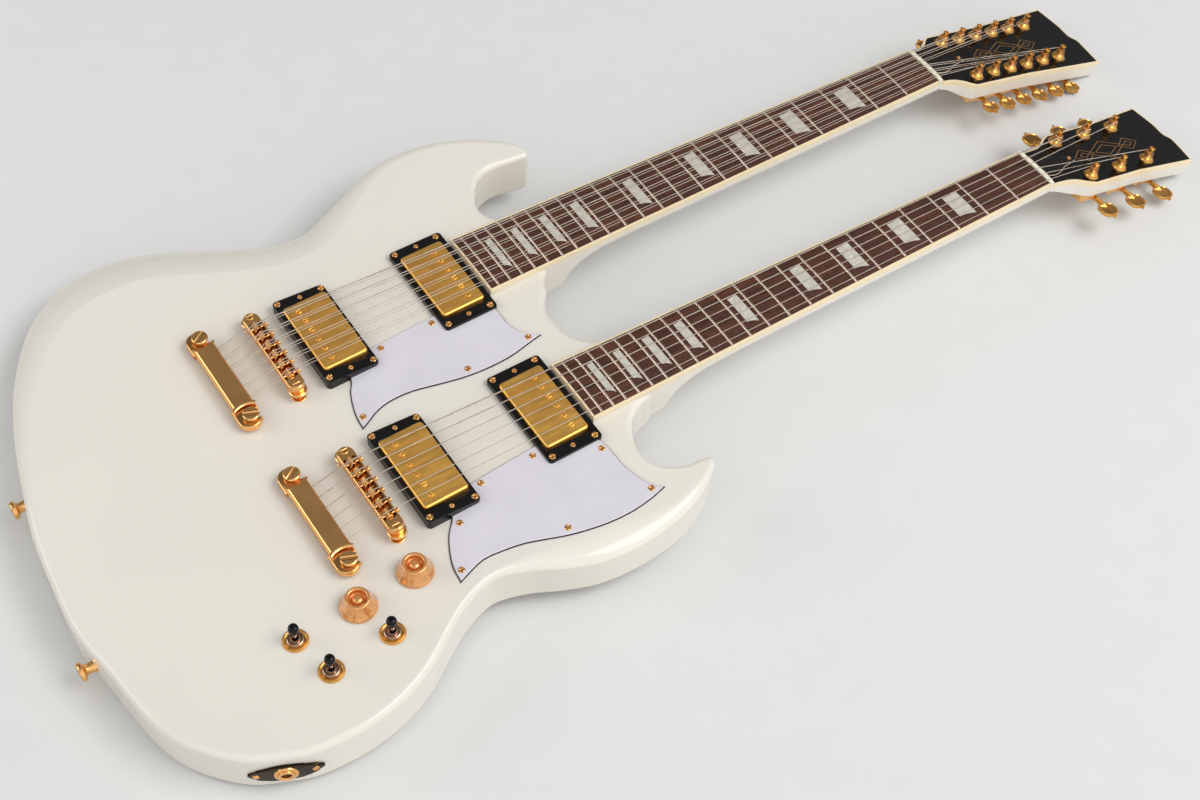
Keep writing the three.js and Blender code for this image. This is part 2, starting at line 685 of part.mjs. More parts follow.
function pickup(neck, place, x) {
  const bridge = place === 'bridge';
  const [tall, low] = bridge ? [ringHighBridge, ringLowBridge] : [ringHighNeck, ringLowNeck];
  const coverTop = bridge ? coverTopBridge : coverTopNeck;
  const poleSide = bridge ? -poleOffset : poleOffset;
  const ringTop = (along) => (tall + low) / 2 - along * (tall - low) / ringWidth;
  const edge = ringOutline(ringLength, ringWidth, ringCorner);
  const opening = [coverWide + 2 * ringWall, coverDeep + 2 * ringWall];
  const ring = joined([loft([
    edge.map(([px, py]) => new THREE.Vector3(px, py, seatGap)),
    edge.map(([px, py]) => new THREE.Vector3(px, py, ringTop(px))),
  ])], [prism(ringOutline(...opening, coverChamfer), -overrun, coverTop)]);
  const level = (inset, z) => ringOutline(coverWide - 2 * inset, coverDeep - 2 * inset,
    coverChamfer * 2).map(([px, py]) => new THREE.Vector3(px, py, z));
  const pieces = [
    ring,
    loft([level(0, -pickupDepth), level(0, coverTop - coverChamfer),
      level(coverChamfer, coverTop)]),
    box([-baseWide / 2, -baseHalf, -pickupDepth - baseThickness],
      [baseWide / 2, baseHalf, -pickupDepth + sink]),
  ];
  for (const side of [-1, 1]) {
    pieces.push(at(turned([[heightScrewRadius, -pickupDepth - sink],
      [heightScrewRadius, ringTop(0) + sink]], wireSides), 0, side * heightScrewOut, 0));
  }
  for (const share of courseShares) {
    pieces.push(at(turned([[poleRadius, -overrun], [poleRadius, coverTop + poleHeight]],
      slimSides), poleSide, poleSpread * share, 0));
  }
  const mesh = named(`pickup_${neck.tag}_${place}`, joined(pieces), 'gold');
  mesh.position.set(onBodyX(x), neck.y, 0);
  return mesh;
}

// Bridge: bar with six saddles on two studs with thumbwheels
function bridge(neck) {
  const half = barWidth / 2;
  const shoulder = barHeight / 4;
  const saddleTop = saddlePoint.z - stringRadius - seatGap;
  const pieces = [slab([
    [-half, barTop - barHeight], [half, barTop - barHeight], [half, barTop - shoulder],
    [half - shoulder, barTop], [shoulder - half, barTop], [-half, barTop - shoulder],
  ], -barHalf, barHalf)];
  for (const share of courseShares) {
    const y = saddleSpread * share;
    pieces.push(slab([
      [-saddleDepth / 2, barTop - sink], [saddleDepth / 2, barTop - sink], [sink, saddleTop],
      [-sink, saddleTop],
    ], y - saddleWidth / 2, y + saddleWidth / 2));
  }
  for (const side of [-1, 1]) {
    const under = barTop - barHeight;
    pieces.push(at(turned([[bridgeStudRadius, -studDepth], [bridgeStudRadius, barTop - sink]],
      slimSides), 0, side * bridgeStudOut, 0));
    pieces.push(at(turned([[wheelRadius, under - wheelHeight], [wheelRadius, under + sink]],
      midSides), 0, side * bridgeStudOut, 0));
  }
  const mesh = named(`bridge_${neck.tag}`, joined(pieces), 'gold');
  mesh.position.set(saddlePoint.x, neck.y, 0);
  return mesh;
}

// Tailpiece: round-nosed bar on two slotted studs, with a slot at the front for the string ends
function tailpiece(neck) {
  const half = tailpieceWidth / 2;
  const tall = tailpieceTop - tailpieceBottom;
  const nose = [];
  for (let k = 0; k <= slimSides; k += 1) {
    const angle = (Math.PI * k) / slimSides;
    nose.push([half * Math.cos(angle), tailpieceBottom + tall / 3
      + (tall * 2 / 3) * Math.sin(angle)]);
  }
  const pieces = [slab([...nose, [-half * 0.8, tailpieceBottom], [half * 0.8, tailpieceBottom]],
    -tailpieceHalf, tailpieceHalf)];
  for (const side of [-1, 1]) {
    pieces.push(at(turned([
      [tailStudRadius, -studDepth], [tailStudRadius, tailpieceBottom + sink],
    ], slimSides), 0, side * tailpieceStudOut, 0));
    pieces.push(at(turned([[tailStudHead, tailpieceBottom - sink],
      [tailStudHead, tailStudTop - sink], [tailStudHead - sink, tailStudTop]],
    midSides), 0, side * tailpieceStudOut, 0));
  }
  const slotHalf = (saddleSpread + saddlePairGap) / 2 + overrun;
  const cuts = [box([half - slotDeep, -slotHalf, slotFloor],
    [half + overrun, slotHalf, slotRoof])];
  const mesh = named(`tailpiece_${neck.tag}`, joined(pieces, cuts), 'gold');
  mesh.position.set(onBodyX(tailpieceX), neck.y, 0);
  return mesh;
}

// Strings: each runs from the tailpiece slot over its saddle and the nut to its post. The ball
// ends form one anchor bar, so a set is one piece.
function wire(path, radius) {
  const runs = path.slice(1).map((point, k) => point.clone().sub(path[k]).normalize());
  const side = new THREE.Vector3(0, 0, 1).cross(runs[0]).normalize();
  const up = new THREE.Vector3().crossVectors(runs[0], side);
  let ring = Array.from({ length: wireSides }, (_, n) => {
    const angle = (2 * Math.PI * n) / wireSides;
    return path[0].clone().addScaledVector(side, radius * Math.cos(angle))
      .addScaledVector(up, radius * Math.sin(angle));
  });
  const rings = [ring];
  runs.forEach((run, k) => {
    const mitre = run.clone().add(runs[k + 1] ?? run);
    const flat = new THREE.Plane().setFromNormalAndCoplanarPoint(mitre.normalize(), path[k + 1]);
    ring = ring.map((point) => point.clone().addScaledVector(
      run, -flat.distanceToPoint(point) / flat.normal.dot(run)));
    rings.push(ring);
  });
  return loft(rings);
}

function stringRows(neck) {
  const pair = neck.paired ? [1 / 2, -1 / 2] : [0];
  const nutRoom = nutSpread - (neck.paired ? nutPairGap / 2 : 0);
  return courseShares.flatMap((share) => pair.map((half) => [
    nutRoom * share + half * nutPairGap, saddleSpread * share + half * saddlePairGap]));
}

function strings(neck) {
  const rows = stringRows(neck);
  const slotMiddle = (slotFloor + slotRoof) / 2 - sink;
  const front = tailpieceWidth / 2 - slotDeep + seatGap;
  const anchorX = onBodyX(tailpieceX) + front + anchorWidth / 2;
  const anchorHalf = (saddleSpread + saddlePairGap) / 2 + sink;
  const anchor = inBody(box([anchorX - anchorWidth / 2, neck.y - anchorHalf,
    slotMiddle - anchorHeight / 2], [anchorX + anchorWidth / 2, neck.y + anchorHalf,
    slotMiddle + anchorHeight / 2]));
  const nutTop = nutHeight + seatGap + stringRadius;
  const pieces = rows.map(([nutY, saddleY], k) => {
    const side = k < rows.length / 2 ? 1 : -1;
    const order = side > 0 ? k : rows.length - 1 - k;
    const post = new THREE.Vector3(neck.firstPost + order * neck.postPitch,
      side * (neck.postOut - postRadius - seatGap - stringRadius), postWaistHeight)
      .applyMatrix4(headFrames.get(neck));
    return wire([
      new THREE.Vector3(anchorX, neck.y + saddleY, slotMiddle).applyMatrix4(bodyFrame),
      new THREE.Vector3(saddleX, neck.y + saddleY, saddleLevel),
      new THREE.Vector3(0, neck.y + nutY, nutTop),
      new THREE.Vector3(nutLength, neck.y + nutY, nutTop - nutLength / 9),
      post,
    ], stringRadius);
  });
  return named(`strings_${neck.tag}`, joined([anchor, ...pieces]), 'steel');
}

// Pickguard, cut clear of the two pickup rings
function pickguard(neck) {
  const outline = neck.guardShares.map(([along, down]) => [
    onBodyX(neckPickupX) + along * pickupSpan, neck.y - down * neck.guardReach]);
  const cuts = pickupPlaces.map(([, x]) => at(prism(
    ringOutline(ringLength + 2 * seatGap, ringWidth + 2 * seatGap, ringCorner),
    -overrun, guardThickness + overrun), onBodyX(x), neck.y, 0));
  return named(`pickguard_${neck.tag}`,
    joined([prism(outline, seatGap, seatGap + guardThickness)], cuts), 'guard');
}

// Moving pieces, each drawn round its own turning axis, which is its local Z
function knob(k) {
  const mesh = named(`knob_${k + 1}`, turned([
    [knobStemRadius, -knobStemDepth], [knobStemRadius, seatGap], [knobRadius, seatGap],
    [knobRadius, knobSkirt], [knobTopRadius + (knobRadius - knobTopRadius) / 3, knobHeight / 2],
    [knobTopRadius, knobHeight - sink], [knobTopRadius - sink, knobHeight],
    [knobTopRadius * 0.7, knobHeight], [knobTopRadius * 0.6, knobHeight - sink],
  ], fineSides), 'amber');
  mesh.position.set(...knobPlace(k), 0);
  return mesh;
}

function switchLever(place, k) {
  const rise = washerHeight + switchNutHeight - leverPivot;
  const tip = leverHeight - tipLength;
  const mesh = named(`switch_lever_${k + 1}`, turned([
    [leverBall / 2, -leverBall * 0.8], [leverBall, 0], [leverRadius, leverBall * 0.8],
    [leverRadius, tip], [tipRadius * 0.8, tip + sink], [tipRadius, tip + tipLength / 4],
    [tipRadius, leverHeight - tipLength / 4], [tipRadius / 2, leverHeight],
  ], slimSides), 'chrome');
  mesh.position.set(...switchPlace(place), rise);
  return mesh;
}

function post(neck, { side, k, along, out }) {
  const hand = side > 0 ? 'l' : 'r';
  const mesh = named(`post_${neck.tag}_${hand}${k + 1}`, turned([
    [postRadius - sink / 2, -postDepth], [postRadius, postWaistHeight / 2],
    [postWaist, postWaistHeight], [postRadius, postHeight - sink],
    [postRadius - sink, postHeight],
  ], slimSides), 'gold');
  mesh.position.set(along, out, 0);
  return mesh;
}

function button(neck, { side, k, along, out }) {
  const hand = side > 0 ? 'l' : 'r';
  const corners = [
    [1, 0.4], [0.72, 1], [-0.72, 1], [-1, 0.4], [-1, -0.4], [-0.72, -1], [0.72, -1], [1, -0.4],
  ];
  const ring = (z, halfWide, halfThick) => corners.map(([x, y]) => new THREE.Vector3(
    x * halfWide, y * halfThick, z));
  const pivot = Math.abs(out) + housingWidth / 2;
  const middle = buttonCentre - pivot;
  const start = middle - neck.buttonLength / 2;
  const mesh = named(`button_${neck.tag}_${hand}${k + 1}`, loft([
    ring(-shaftEngage, shaftRadius * 0.9, shaftRadius * 0.9),
    ring(start, shaftRadius * 0.9, shaftRadius * 0.9),
    ...buttonShares.map(([place, wide, thick]) => ring(
      middle + (place + 0.02) * neck.buttonLength,
      wide * neck.buttonHalf, thick * buttonThickness / 2)),
  ]), 'gold');
  mesh.position.set(along + shaftOffset, side * pivot, -headThickness - housingDepth / 2);
  mesh.rotation.x = -side * Math.PI / 2;
  return mesh;
}

// Jack plate bent round the wall, with its ferrule and socket
function jack() {
  const curve = outlineCurve();
  const length = curve.getLength();
  const lowZ = -bodyThickness / 2;
  const rings = [];
  for (let k = 0; k <= jackSteps; k += 1) {
    const away = 2 * (k / jackSteps) - 1;
    const share = jackShare + (away * jackHalf) / length;
    const spot = curve.getPointAt(share);
    const ahead = curve.getTangentAt(share).setZ(0).normalize();
    const rise = sink + (jackRise - sink) * (1 - away ** 2) ** jackCurveShare;
    const corner = (out, up) => new THREE.Vector3(
      spot.x - out * ahead.y, spot.y + out * ahead.x, lowZ + up);
    rings.push([
      corner(seatGap, -rise), corner(seatGap, rise),
      corner(seatGap + jackPlate, rise), corner(seatGap + jackPlate, -rise),
    ]);
  }
  const frame = wallFrame(jackShare);
  const ferrule = turned([[ferruleRadius, -ferruleIn], [ferruleRadius, ferruleOut]], fineSides);
  const bore = turned([[jackBore, ferruleOut - jackBoreDepth],
    [jackBore, ferruleOut + overrun]], fineSides);
  return named('jack_plate', joined(
    [loft(rings), ferrule.applyMatrix4(frame)], [bore.applyMatrix4(frame)]), 'gold');
}

function backCover() {
  return named('back_cover', prism(backCoverOutline(0), -bodyThickness,
    -bodyThickness + coverPlate), 'black');
}

// Assembly: the playing group has its origin at the nut of the six-string neck
const playing = new THREE.Group();
const onBody = new THREE.Group();
onBody.applyMatrix4(bodyFrame);
playing.add(body(), onBody);
onBody.add(jack(), backCover());
for (const neck of necks) {
  const head = new THREE.Group();
  head.applyMatrix4(headFrames.get(neck));
  for (const tuner of tuners(neck)) head.add(post(neck, tuner), button(neck, tuner));
  playing.add(neckPiece(neck), fretboard(neck), strings(neck), head);
  onBody.add(pickguard(neck), bridge(neck), tailpiece(neck));
  for (const [place, x] of pickupPlaces) onBody.add(pickup(neck, place, x));
}
for (let k = 0; k < knobCount; k += 1) onBody.add(knob(k));
switchShares.forEach((place, k) => onBody.add(switchLever(place, k)));

// The part's origin is under the middle of its box, on the surface that it lies on
const guitar = new THREE.Group();
guitar.add(playing);
const extent = new THREE.Box3().setFromObject(guitar, true);
playing.position.set(-(extent.min.x + extent.max.x) / 2, -(extent.min.y + extent.max.y) / 2,
  -extent.min.z);

export default guitar;
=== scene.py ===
"""Double-neck electric guitar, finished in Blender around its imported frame."""
import json
import math
import random
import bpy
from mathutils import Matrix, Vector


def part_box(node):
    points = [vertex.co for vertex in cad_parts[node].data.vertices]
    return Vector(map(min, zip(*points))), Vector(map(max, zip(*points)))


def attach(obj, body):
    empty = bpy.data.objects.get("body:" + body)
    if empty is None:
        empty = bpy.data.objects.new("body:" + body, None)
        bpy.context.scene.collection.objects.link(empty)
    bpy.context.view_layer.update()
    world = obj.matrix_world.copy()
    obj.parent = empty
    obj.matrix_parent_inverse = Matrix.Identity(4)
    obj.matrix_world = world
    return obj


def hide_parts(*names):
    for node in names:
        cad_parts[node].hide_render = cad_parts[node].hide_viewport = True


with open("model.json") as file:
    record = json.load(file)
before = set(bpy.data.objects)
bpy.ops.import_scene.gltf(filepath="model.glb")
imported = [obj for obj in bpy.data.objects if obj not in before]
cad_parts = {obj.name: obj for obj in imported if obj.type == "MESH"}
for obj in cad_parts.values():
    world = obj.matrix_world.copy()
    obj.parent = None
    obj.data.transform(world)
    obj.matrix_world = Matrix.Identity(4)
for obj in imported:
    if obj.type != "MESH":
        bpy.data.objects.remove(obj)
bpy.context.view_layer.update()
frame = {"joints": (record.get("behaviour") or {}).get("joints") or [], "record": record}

from types import SimpleNamespace

import bmesh
import bpy
from bpy.props import FloatProperty, FloatVectorProperty, IntProperty, PointerProperty
from mathutils import Matrix, Vector

bl_info = {
    "name": "Double-neck guitar",
    "version": (1, 0, 0),
    "blender": (4, 5, 0),
    "location": "View3D > Sidebar > Guitar",
    "description": "Finishes a double-neck electric guitar around its packed frame",
    "category": "Object",
}

MM = 0.001
JOINTS = {joint["name"]: joint for joint in frame["joints"]}
MOUNTS = {mount["name"]: mount for mount in frame["record"]["mounts"]}

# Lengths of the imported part, in millimetres
SCALE_LENGTH = 628.0
SADDLE_SETBACK = 1.5
FRETS = 22
BOARD_THICK = 5.5
BOARD_ON_BODY = 49.5
NUT_LENGTH = 4.5
FRET_WIDTH = 2.1
SEAT = 0.3
HEAD_DROP = 3.5
HEAD_THICK = 15.5
BODY_THICK = 40.0
TAIL_REACH = 436.0
UPPER_WING = 163.4
LOWER_WING = 151.5
EDGE_ROUND = 5.0
BEVEL_WIDTH = 38.0
BEVEL_SLOPE = 0.24
BEVEL_FLAT = 0.7
FRONT_SHARE = 0.021
HEEL_LENGTH = 58.0
HEEL_DEPTH = 33.0
POCKET = 13.0
TENON_LENGTH = 53.0
NUT_SPREAD = 35.5
SADDLE_SPREAD = 51.0
NUT_PAIR = 2.3
SADDLE_PAIR = 2.6
SADDLE_LEVEL = 3.6
POLE_SPREAD = 50.5
WOUND_FROM = 0.36
POST_WAIST = 2.65
COIL_TOP, COIL_DROP = 8.6, 3.9
BALL_END_DROP = 8.5
BACK_COVER_RISE = 0.35
COVER_LONG, COVER_WIDE = 36.5, 67.5
RING_LONG, RING_WIDE = 43.0, 88.6
BRIDGE_STUD, TAIL_STUD = 37.0, 41.0
CAMBER_RADIUS = 406.0
COURSE_SHARES = [0.5 - k / 5 for k in range(6)]
SHARP = math.radians(38)
ROUND = 48
QUARTER = math.pi / 2

# The camera, in metres, with the directions of its picture's sides
CAMERA_SPOT = Vector((-0.63317, -0.72799, 1.10710))
CAMERA_RIGHT = Vector((0.82810, -0.55593, 0.07205))
CAMERA_UP = Vector((0.40371, 0.68059, 0.61140))

# The frames that the pieces are drawn in: playing at the six-string nut, the leaning body, heads
board_low, board_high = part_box("fretboard_6")
NUT = Vector((board_high.x - NUT_LENGTH * MM, (board_low.y + board_high.y) / 2,
              board_low.z + BOARD_THICK * MM))
BOARD_END = (board_low.x - NUT.x) / MM
NECK_SPACING = (sum(corner.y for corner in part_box("fretboard_12")) / 2 - NUT.y) / MM
HINGE_X = BOARD_END + BOARD_ON_BODY
HINGE_Z = -BOARD_THICK - SEAT


def at(x=0.0, y=0.0, z=0.0):
    return Matrix.Translation((x, y, z))


def turned(angle, axis):
    return Matrix.Rotation(angle, 4, axis)


def placed(origin, lean=0.0):
    """Carries a drawing in millimetres to a place in the frame, leaning about Y."""
    return Matrix.Translation(origin) @ turned(lean, "Y") @ Matrix.Scale(MM, 4)


def lean_of(joint):
    """How far a joint's axis leans forwards from upright."""
    axis = Vector(JOINTS[joint]["axis"])
    return math.atan2(axis.x, axis.z) if axis.z > 0 else math.atan2(-axis.x, -axis.z)


PLAYING = placed(NUT)
BODY_LEAN = lean_of("turn_knob_1")
BODY = placed(NUT + Vector((HINGE_X, 0, HINGE_Z)) * MM, BODY_LEAN)
HEAD_LEAN = lean_of("turn_post_6_l1")
HEAD_X = NUT_LENGTH + SEAT + (BOARD_THICK - HEAD_DROP) * math.tan(HEAD_LEAN)
SADDLE_X = -SCALE_LENGTH - SADDLE_SETBACK
SEAT_X = HINGE_X + FRONT_SHARE * TAIL_REACH
NECK_PICKUP_X = BOARD_END - 3.3 - RING_LONG / 2
BRIDGE_PICKUP_X = SADDLE_X + 21.7 + RING_LONG / 2
TAILPIECE_X = SADDLE_X - 39.4


def on_body(x):
    """A place along the strings as a place along the leaning body."""
    return (x - HINGE_X) / math.cos(BODY_LEAN)


def to_body(x, y, z):
    return BODY.inverted() @ PLAYING @ Vector((x, y, z))


# Outline of the body: distance ahead of the hinge line as a share of TAIL_REACH, distance
# across as a share of a width, share of the full bevel
TAIL_SHARES = [(-1, 0.1, 0), (-0.995, 0.42, 0.02), (-0.984, 0.7, 0.05), (-0.963, 0.97, 0.1)]
UPPER_SHARES = [
    (-0.931, 0.266, 0.22), (-0.888, 0.541, 0.43), (-0.826, 0.792, 0.7), (-0.784, 0.896, 0.83),
    (-0.734, 0.969, 0.94), (-0.679, 1, 1), (-0.624, 0.994, 1), (-0.569, 0.951, 0.95),
    (-0.47, 0.81, 0.88), (-0.42, 0.737, 0.85), (-0.369, 0.682, 0.8), (-0.312, 0.666, 0.7),
    (-0.259, 0.718, 0.55), (-0.156, 0.835, 0.3), (-0.101, 0.865, 0.21), (-0.044, 0.859, 0.18),
    (0.009, 0.826, 0.15), (0.06, 0.758, 0.12), (0.106, 0.663, 0.06), (0.127, 0.59, 0),
    (0.133, 0.541, -0.04), (0.126, 0.503, -0.04), (0.106, 0.504, -0.03), (0.062, 0.52, 0),
    (0.039, 0.517, 0), (0.018, 0.495, 0), (0.002, 0.455, 0), (-0.011, 0.4, 0), (-0.021, 0.333, 0),
    (-0.018, 0.272, 0), (-0.005, 0.217, 0), (0.016, 0.174, 0), (0.021, 0.14, 0)]
CUTAWAY_SHARES = [
    (0.021, 0.845, 0), (0.011, 0.808, 0), (-0.009, 0.752, 0), (-0.021, 0.675, 0),
    (-0.037, 0.613, 0), (-0.046, 0.557, 0), (-0.048, 0.46, 0), (-0.044, 0.362, 0),
    (-0.032, 0.306, 0), (-0.018, 0.258, 0), (0, 0.223, 0), (0.016, 0.188, 0), (0.021, 0.15, 0)]
LOWER_SHARES = [
    (0.021, 0.142, 0), (0.014, 0.172, 0), (0, 0.191, 0), (-0.018, 0.205, 0), (-0.037, 0.231, 0),
    (-0.053, 0.271, 0), (-0.069, 0.343, 0), (-0.078, 0.429, 0), (-0.076, 0.495, 0),
    (-0.064, 0.554, 0), (-0.046, 0.594, 0), (-0.025, 0.62, 0), (-0.002, 0.627, 0),
    (0.014, 0.642, -0.04), (0.016, 0.672, -0.04), (-0.021, 0.759, 0.03), (-0.073, 0.825, 0.15),
    (-0.133, 0.855, 0.3), (-0.19, 0.858, 0.42), (-0.248, 0.835, 0.45), (-0.303, 0.776, 0.36),
    (-0.356, 0.703, 0.15), (-0.413, 0.663, 0), (-0.468, 0.71, 0), (-0.518, 0.795, 0),
    (-0.567, 0.888, 0), (-0.619, 0.954, 0), (-0.677, 0.993, 0), (-0.734, 1, 0), (-0.791, 0.98, 0),
    (-0.835, 0.931, 0), (-0.878, 0.868, 0), (-0.917, 0.762, 0), (-0.95, 0.627, 0),
    (-0.97, 0.469, 0), (-0.986, 0.165, 0)]
# Other outlines, as shares of a length and of a half width
HEEL_SHARES = [(0.28, 0.14, 0.55), (0.53, 0.29, 0.6), (0.72, 0.53, 0.72), (0.84, 0.83, 0.92),
               (1, 0.91, 1)]
HEAD_TIP_SHARES = [(1, 0.32), (0.994, -0.03), (1.012, -0.21), (1.006, -0.5)]
COVER_SHARES = [(0.04, 0.9), (0.2, 1), (0.42, 0.86), (0.6, 0.56), (0.8, 0.42), (1, 0.24)]
BUTTON_SHARES = [(-0.33, 0.12), (-0.38, 0.24), (-0.48, 0.42), (-0.5, 0.62), (-0.4, 0.85),
                 (-0.18, 0.99), (0.08, 1), (0.29, 0.88), (0.43, 0.62), (0.495, 0.28)]
BACK_COVER_SHARES = [(-0.47, 0.3), (-0.62, 0.3), (-0.77, 0.36), (-0.79, 0.5), (-0.74, 0.76),
                     (-0.68, 0.8), (-0.57, 0.74), (-0.48, 0.62), (-0.45, 0.46)]
GUARD_SIX_SHARES = [
    (0.06, 0.25), (-0.97, 0.25), (-1.041, 0.417), (-1.119, 0.504), (-1.186, 0.614),
    (-1.234, 0.734), (-1.25, 0.861), (-1.163, 0.831), (-1.023, 0.794), (-0.861, 0.806),
    (-0.711, 0.834), (-0.571, 0.881), (-0.432, 0.929), (-0.284, 0.965), (-0.128, 0.991),
    (0.043, 1), (0.215, 0.985), (0.374, 0.952), (0.303, 0.89), (0.255, 0.784), (0.224, 0.655),
    (0.222, 0.533), (0.2, 0.4)]
GUARD_TWELVE_SHARES = [
    (0.06, 0.3), (-1.0, 0.3), (-1.051, 0.525), (-1.098, 0.609), (-1.141, 0.731), (-1.171, 0.86),
    (-1.181, 0.991), (-1.108, 0.952), (-1.026, 0.903), (-0.929, 0.872), (-0.82, 0.864),
    (-0.709, 0.875), (-0.584, 0.908), (-0.461, 0.943), (-0.335, 0.974), (-0.201, 0.994),
    (-0.059, 1), (0.079, 0.992), (0.232, 0.96), (0.372, 0.931), (0.255, 0.808), (0.215, 0.682),
    (0.214, 0.528), (0.2, 0.4)]

NECKS = [
    SimpleNamespace(
        tag="12", y=NECK_SPACING, nut_half=22.7, end_half=30.6, head_length=192.5, head_half=42.0,
        posts=6, paired=True, button_length=11.4, button_half=8.1, button_reach=46.6,
        guard_reach=89.8, guard_shares=GUARD_TWELVE_SHARES,
        guard_screws=[(-557, -31.5), (-599.2, -79.8), (-512.8, -30.9), (-512.2, -82.5),
                      (-458.2, -80.8)],
        gauges=[0.56, 0.3, 0.47, 0.28, 0.39, 0.26, 0.32, 0.24, 0.28, 0.28, 0.25, 0.25],
        head_shares=[(0, 0.54), (0.07, 0.58), (0.114, 0.679), (0.14, 0.78), (0.166, 0.857),
                     (0.519, 0.874), (0.99, 1)]),
    SimpleNamespace(
        tag="6", y=0.0, nut_half=21.5, end_half=28.9, head_length=171.0, head_half=38.0,
        posts=3, paired=False, button_length=14.6, button_half=9.3, button_reach=48.3,
        guard_reach=108.2, guard_shares=GUARD_SIX_SHARES,
        guard_screws=[(-587.3, -51.5), (-605.9, -84.8), (-557.5, -30.9), (-513.8, -30.7),
                      (-525.6, -95.2), (-468.2, -51.8), (-457.5, -99.3)],
        gauges=[0.6, 0.5, 0.42, 0.34, 0.31, 0.29],
        head_shares=[(0, 0.56), (0.122, 0.592), (0.17, 0.66), (0.215, 0.776), (0.262, 0.863),
                     (0.593, 0.868), (0.985, 1)]),
]
for neck in NECKS:
    neck.head = placed(NUT + Vector((HEAD_X, neck.y, -HEAD_DROP)) * MM, HEAD_LEAN)
    neck.board = PLAYING @ at(0, neck.y, 0)
    neck.top = BODY @ at(0, neck.y, 0)


def half_at(neck, x):
    """Half the fretboard's width at a place along it."""
    return neck.nut_half + (neck.end_half - neck.nut_half) * x / BOARD_END


def fret_x(fret):
    return -SCALE_LENGTH * (1 - 2 ** (-fret / 12))


def camber(y):
    """How far the round top of a fretboard lies below its middle line."""
    return -y * y / (2 * CAMBER_RADIUS)


# Drawing tools. Each gives a bmesh in millimetres, or points for one.
def spline(points, steps=5, closed=False):
    """Points along a centripetal curve through the given ones."""
    spots = [Vector(point) for point in points]
    if not closed:
        spots = [spots[0] * 2 - spots[1], *spots, spots[-1] * 2 - spots[-2]]
    count = len(spots)
    drawn = []
    for k in range(count) if closed else range(1, count - 2):
        a, b, c, d = (spots[(k + n) % count] for n in (-1, 0, 1, 2))
        g, h, j = (max((q - p).length, 1e-6) ** 0.5 for p, q in ((a, b), (b, c), (c, d)))
        leave = ((b - a) / g - (c - a) / (g + h) + (c - b) / h) * h
        arrive = ((c - b) / h - (d - b) / (h + j) + (d - c) / j) * h
        for n in range(steps):
            t = n / steps
            drawn.append(b + leave * t + ((c - b) * 3 - leave * 2 - arrive) * t ** 2
                         + ((b - c) * 2 + leave + arrive) * t ** 3)
    return drawn if closed else drawn + [spots[-2]]


def inwards(outline, inset):
    """A flat outline with each side moved inwards."""
    spots = [Vector(spot[:2]) for spot in outline]
    after = spots[1:] + spots[:1]
    turn = 1 if sum(a.cross(b) for a, b in zip(spots, after)) > 0 else -1
    sides = [(b - a).normalized() for a, b in zip(spots, after)]
    moved = []
    for k, here in enumerate(spots):
        normals = [Vector((-side.y, side.x)) * turn for side in (sides[k - 1], sides[k])]
        both = normals[0] + normals[1]
        moved.append(here + both * inset / max(1 + normals[0].dot(normals[1]), 0.12))
    return moved


def skin(rings, looks=None):
    """A closed skin through rings of equal length, each extruded from the one before. looks
    holds the material of the first end, of each band and of the last end."""
    bm = bmesh.new()
    looks = looks or [0] * (len(rings) + 1)
    ring = [bm.verts.new(point) for point in rings[0]]
    bm.faces.new(ring).material_index = looks[0]
    for points, look in zip(rings[1:], looks[1:]):
        edges = [bm.edges.get((a, b)) for a, b in zip(ring, ring[1:] + ring[:1])]
        made = bmesh.ops.extrude_edge_only(bm, edges=edges)["geom"]
        for face in made:
            if isinstance(face, bmesh.types.BMFace):
                face.material_index = look
        fresh = {vert for vert in made if isinstance(vert, bmesh.types.BMVert)}
        ring = [next(edge.other_vert(vert) for edge in vert.link_edges
                     if edge.other_vert(vert) in fresh) for vert in ring]
        for vert, point in zip(ring, points):
            vert.co = point
    bm.faces.new(ring).material_index = looks[-1]
    bmesh.ops.recalc_face_normals(bm, faces=bm.faces)
    return bm


def plate(outline, levels, looks=None):
    """A flat piece: its outline at each level's inset and height."""
    return skin([[(*point, z) for point in inwards(outline, inset)] for inset, z in levels], looks)


def lathe(profile, sides=ROUND):
    """A round piece by its half profile of radius and height."""
    bm = bmesh.new()
    verts = [bm.verts.new((radius, 0, z)) for radius, z in profile]
    edges = [bm.edges.new(pair) for pair in zip(verts, verts[1:])]
    bmesh.ops.spin(bm, geom=verts + edges, cent=(0, 0, 0), axis=(0, 0, 1),
                   angle=2 * math.pi, steps=sides, use_merge=True)
    bmesh.ops.remove_doubles(bm, verts=bm.verts, dist=1e-4)
    bmesh.ops.recalc_face_normals(bm, faces=bm.faces)
    return bm


def tube(path, radius, sides):
    """A wire along a path."""
    path = [Vector(point) for point in path]
    runs = [(b - a).normalized() for a, b in zip(path, path[1:])]
    side = Vector((0, 0, 1)).cross(runs[0]).normalized()
    rings = []
    for k, point in enumerate(path):
        ahead = (runs[max(k - 1, 0)] + runs[min(k, len(runs) - 1)]).normalized()
        side = (side - ahead * side.dot(ahead)).normalized()
        up = ahead.cross(side)
        rings.append([point + (side * math.cos(turn) + up * math.sin(turn)) * radius
                      for turn in (2 * math.pi * n / sides for n in range(sides))])
    return skin(rings)


def add(bm, other, matrix=None):
    """Moves another drawing into this one."""
    if matrix:
        bmesh.ops.transform(other, matrix=matrix, verts=other.verts)
    mesh = bpy.data.meshes.new("part")
    other.to_mesh(mesh)
    other.free()
    bm.from_mesh(mesh)
    bpy.data.meshes.remove(mesh)
    return bm


def gathered(*parts):
    """One drawing of several, each alone or with its matrix."""
    bm = bmesh.new()
    for part in parts:
        add(bm, *(part if isinstance(part, tuple) else (part,)))
    return bm


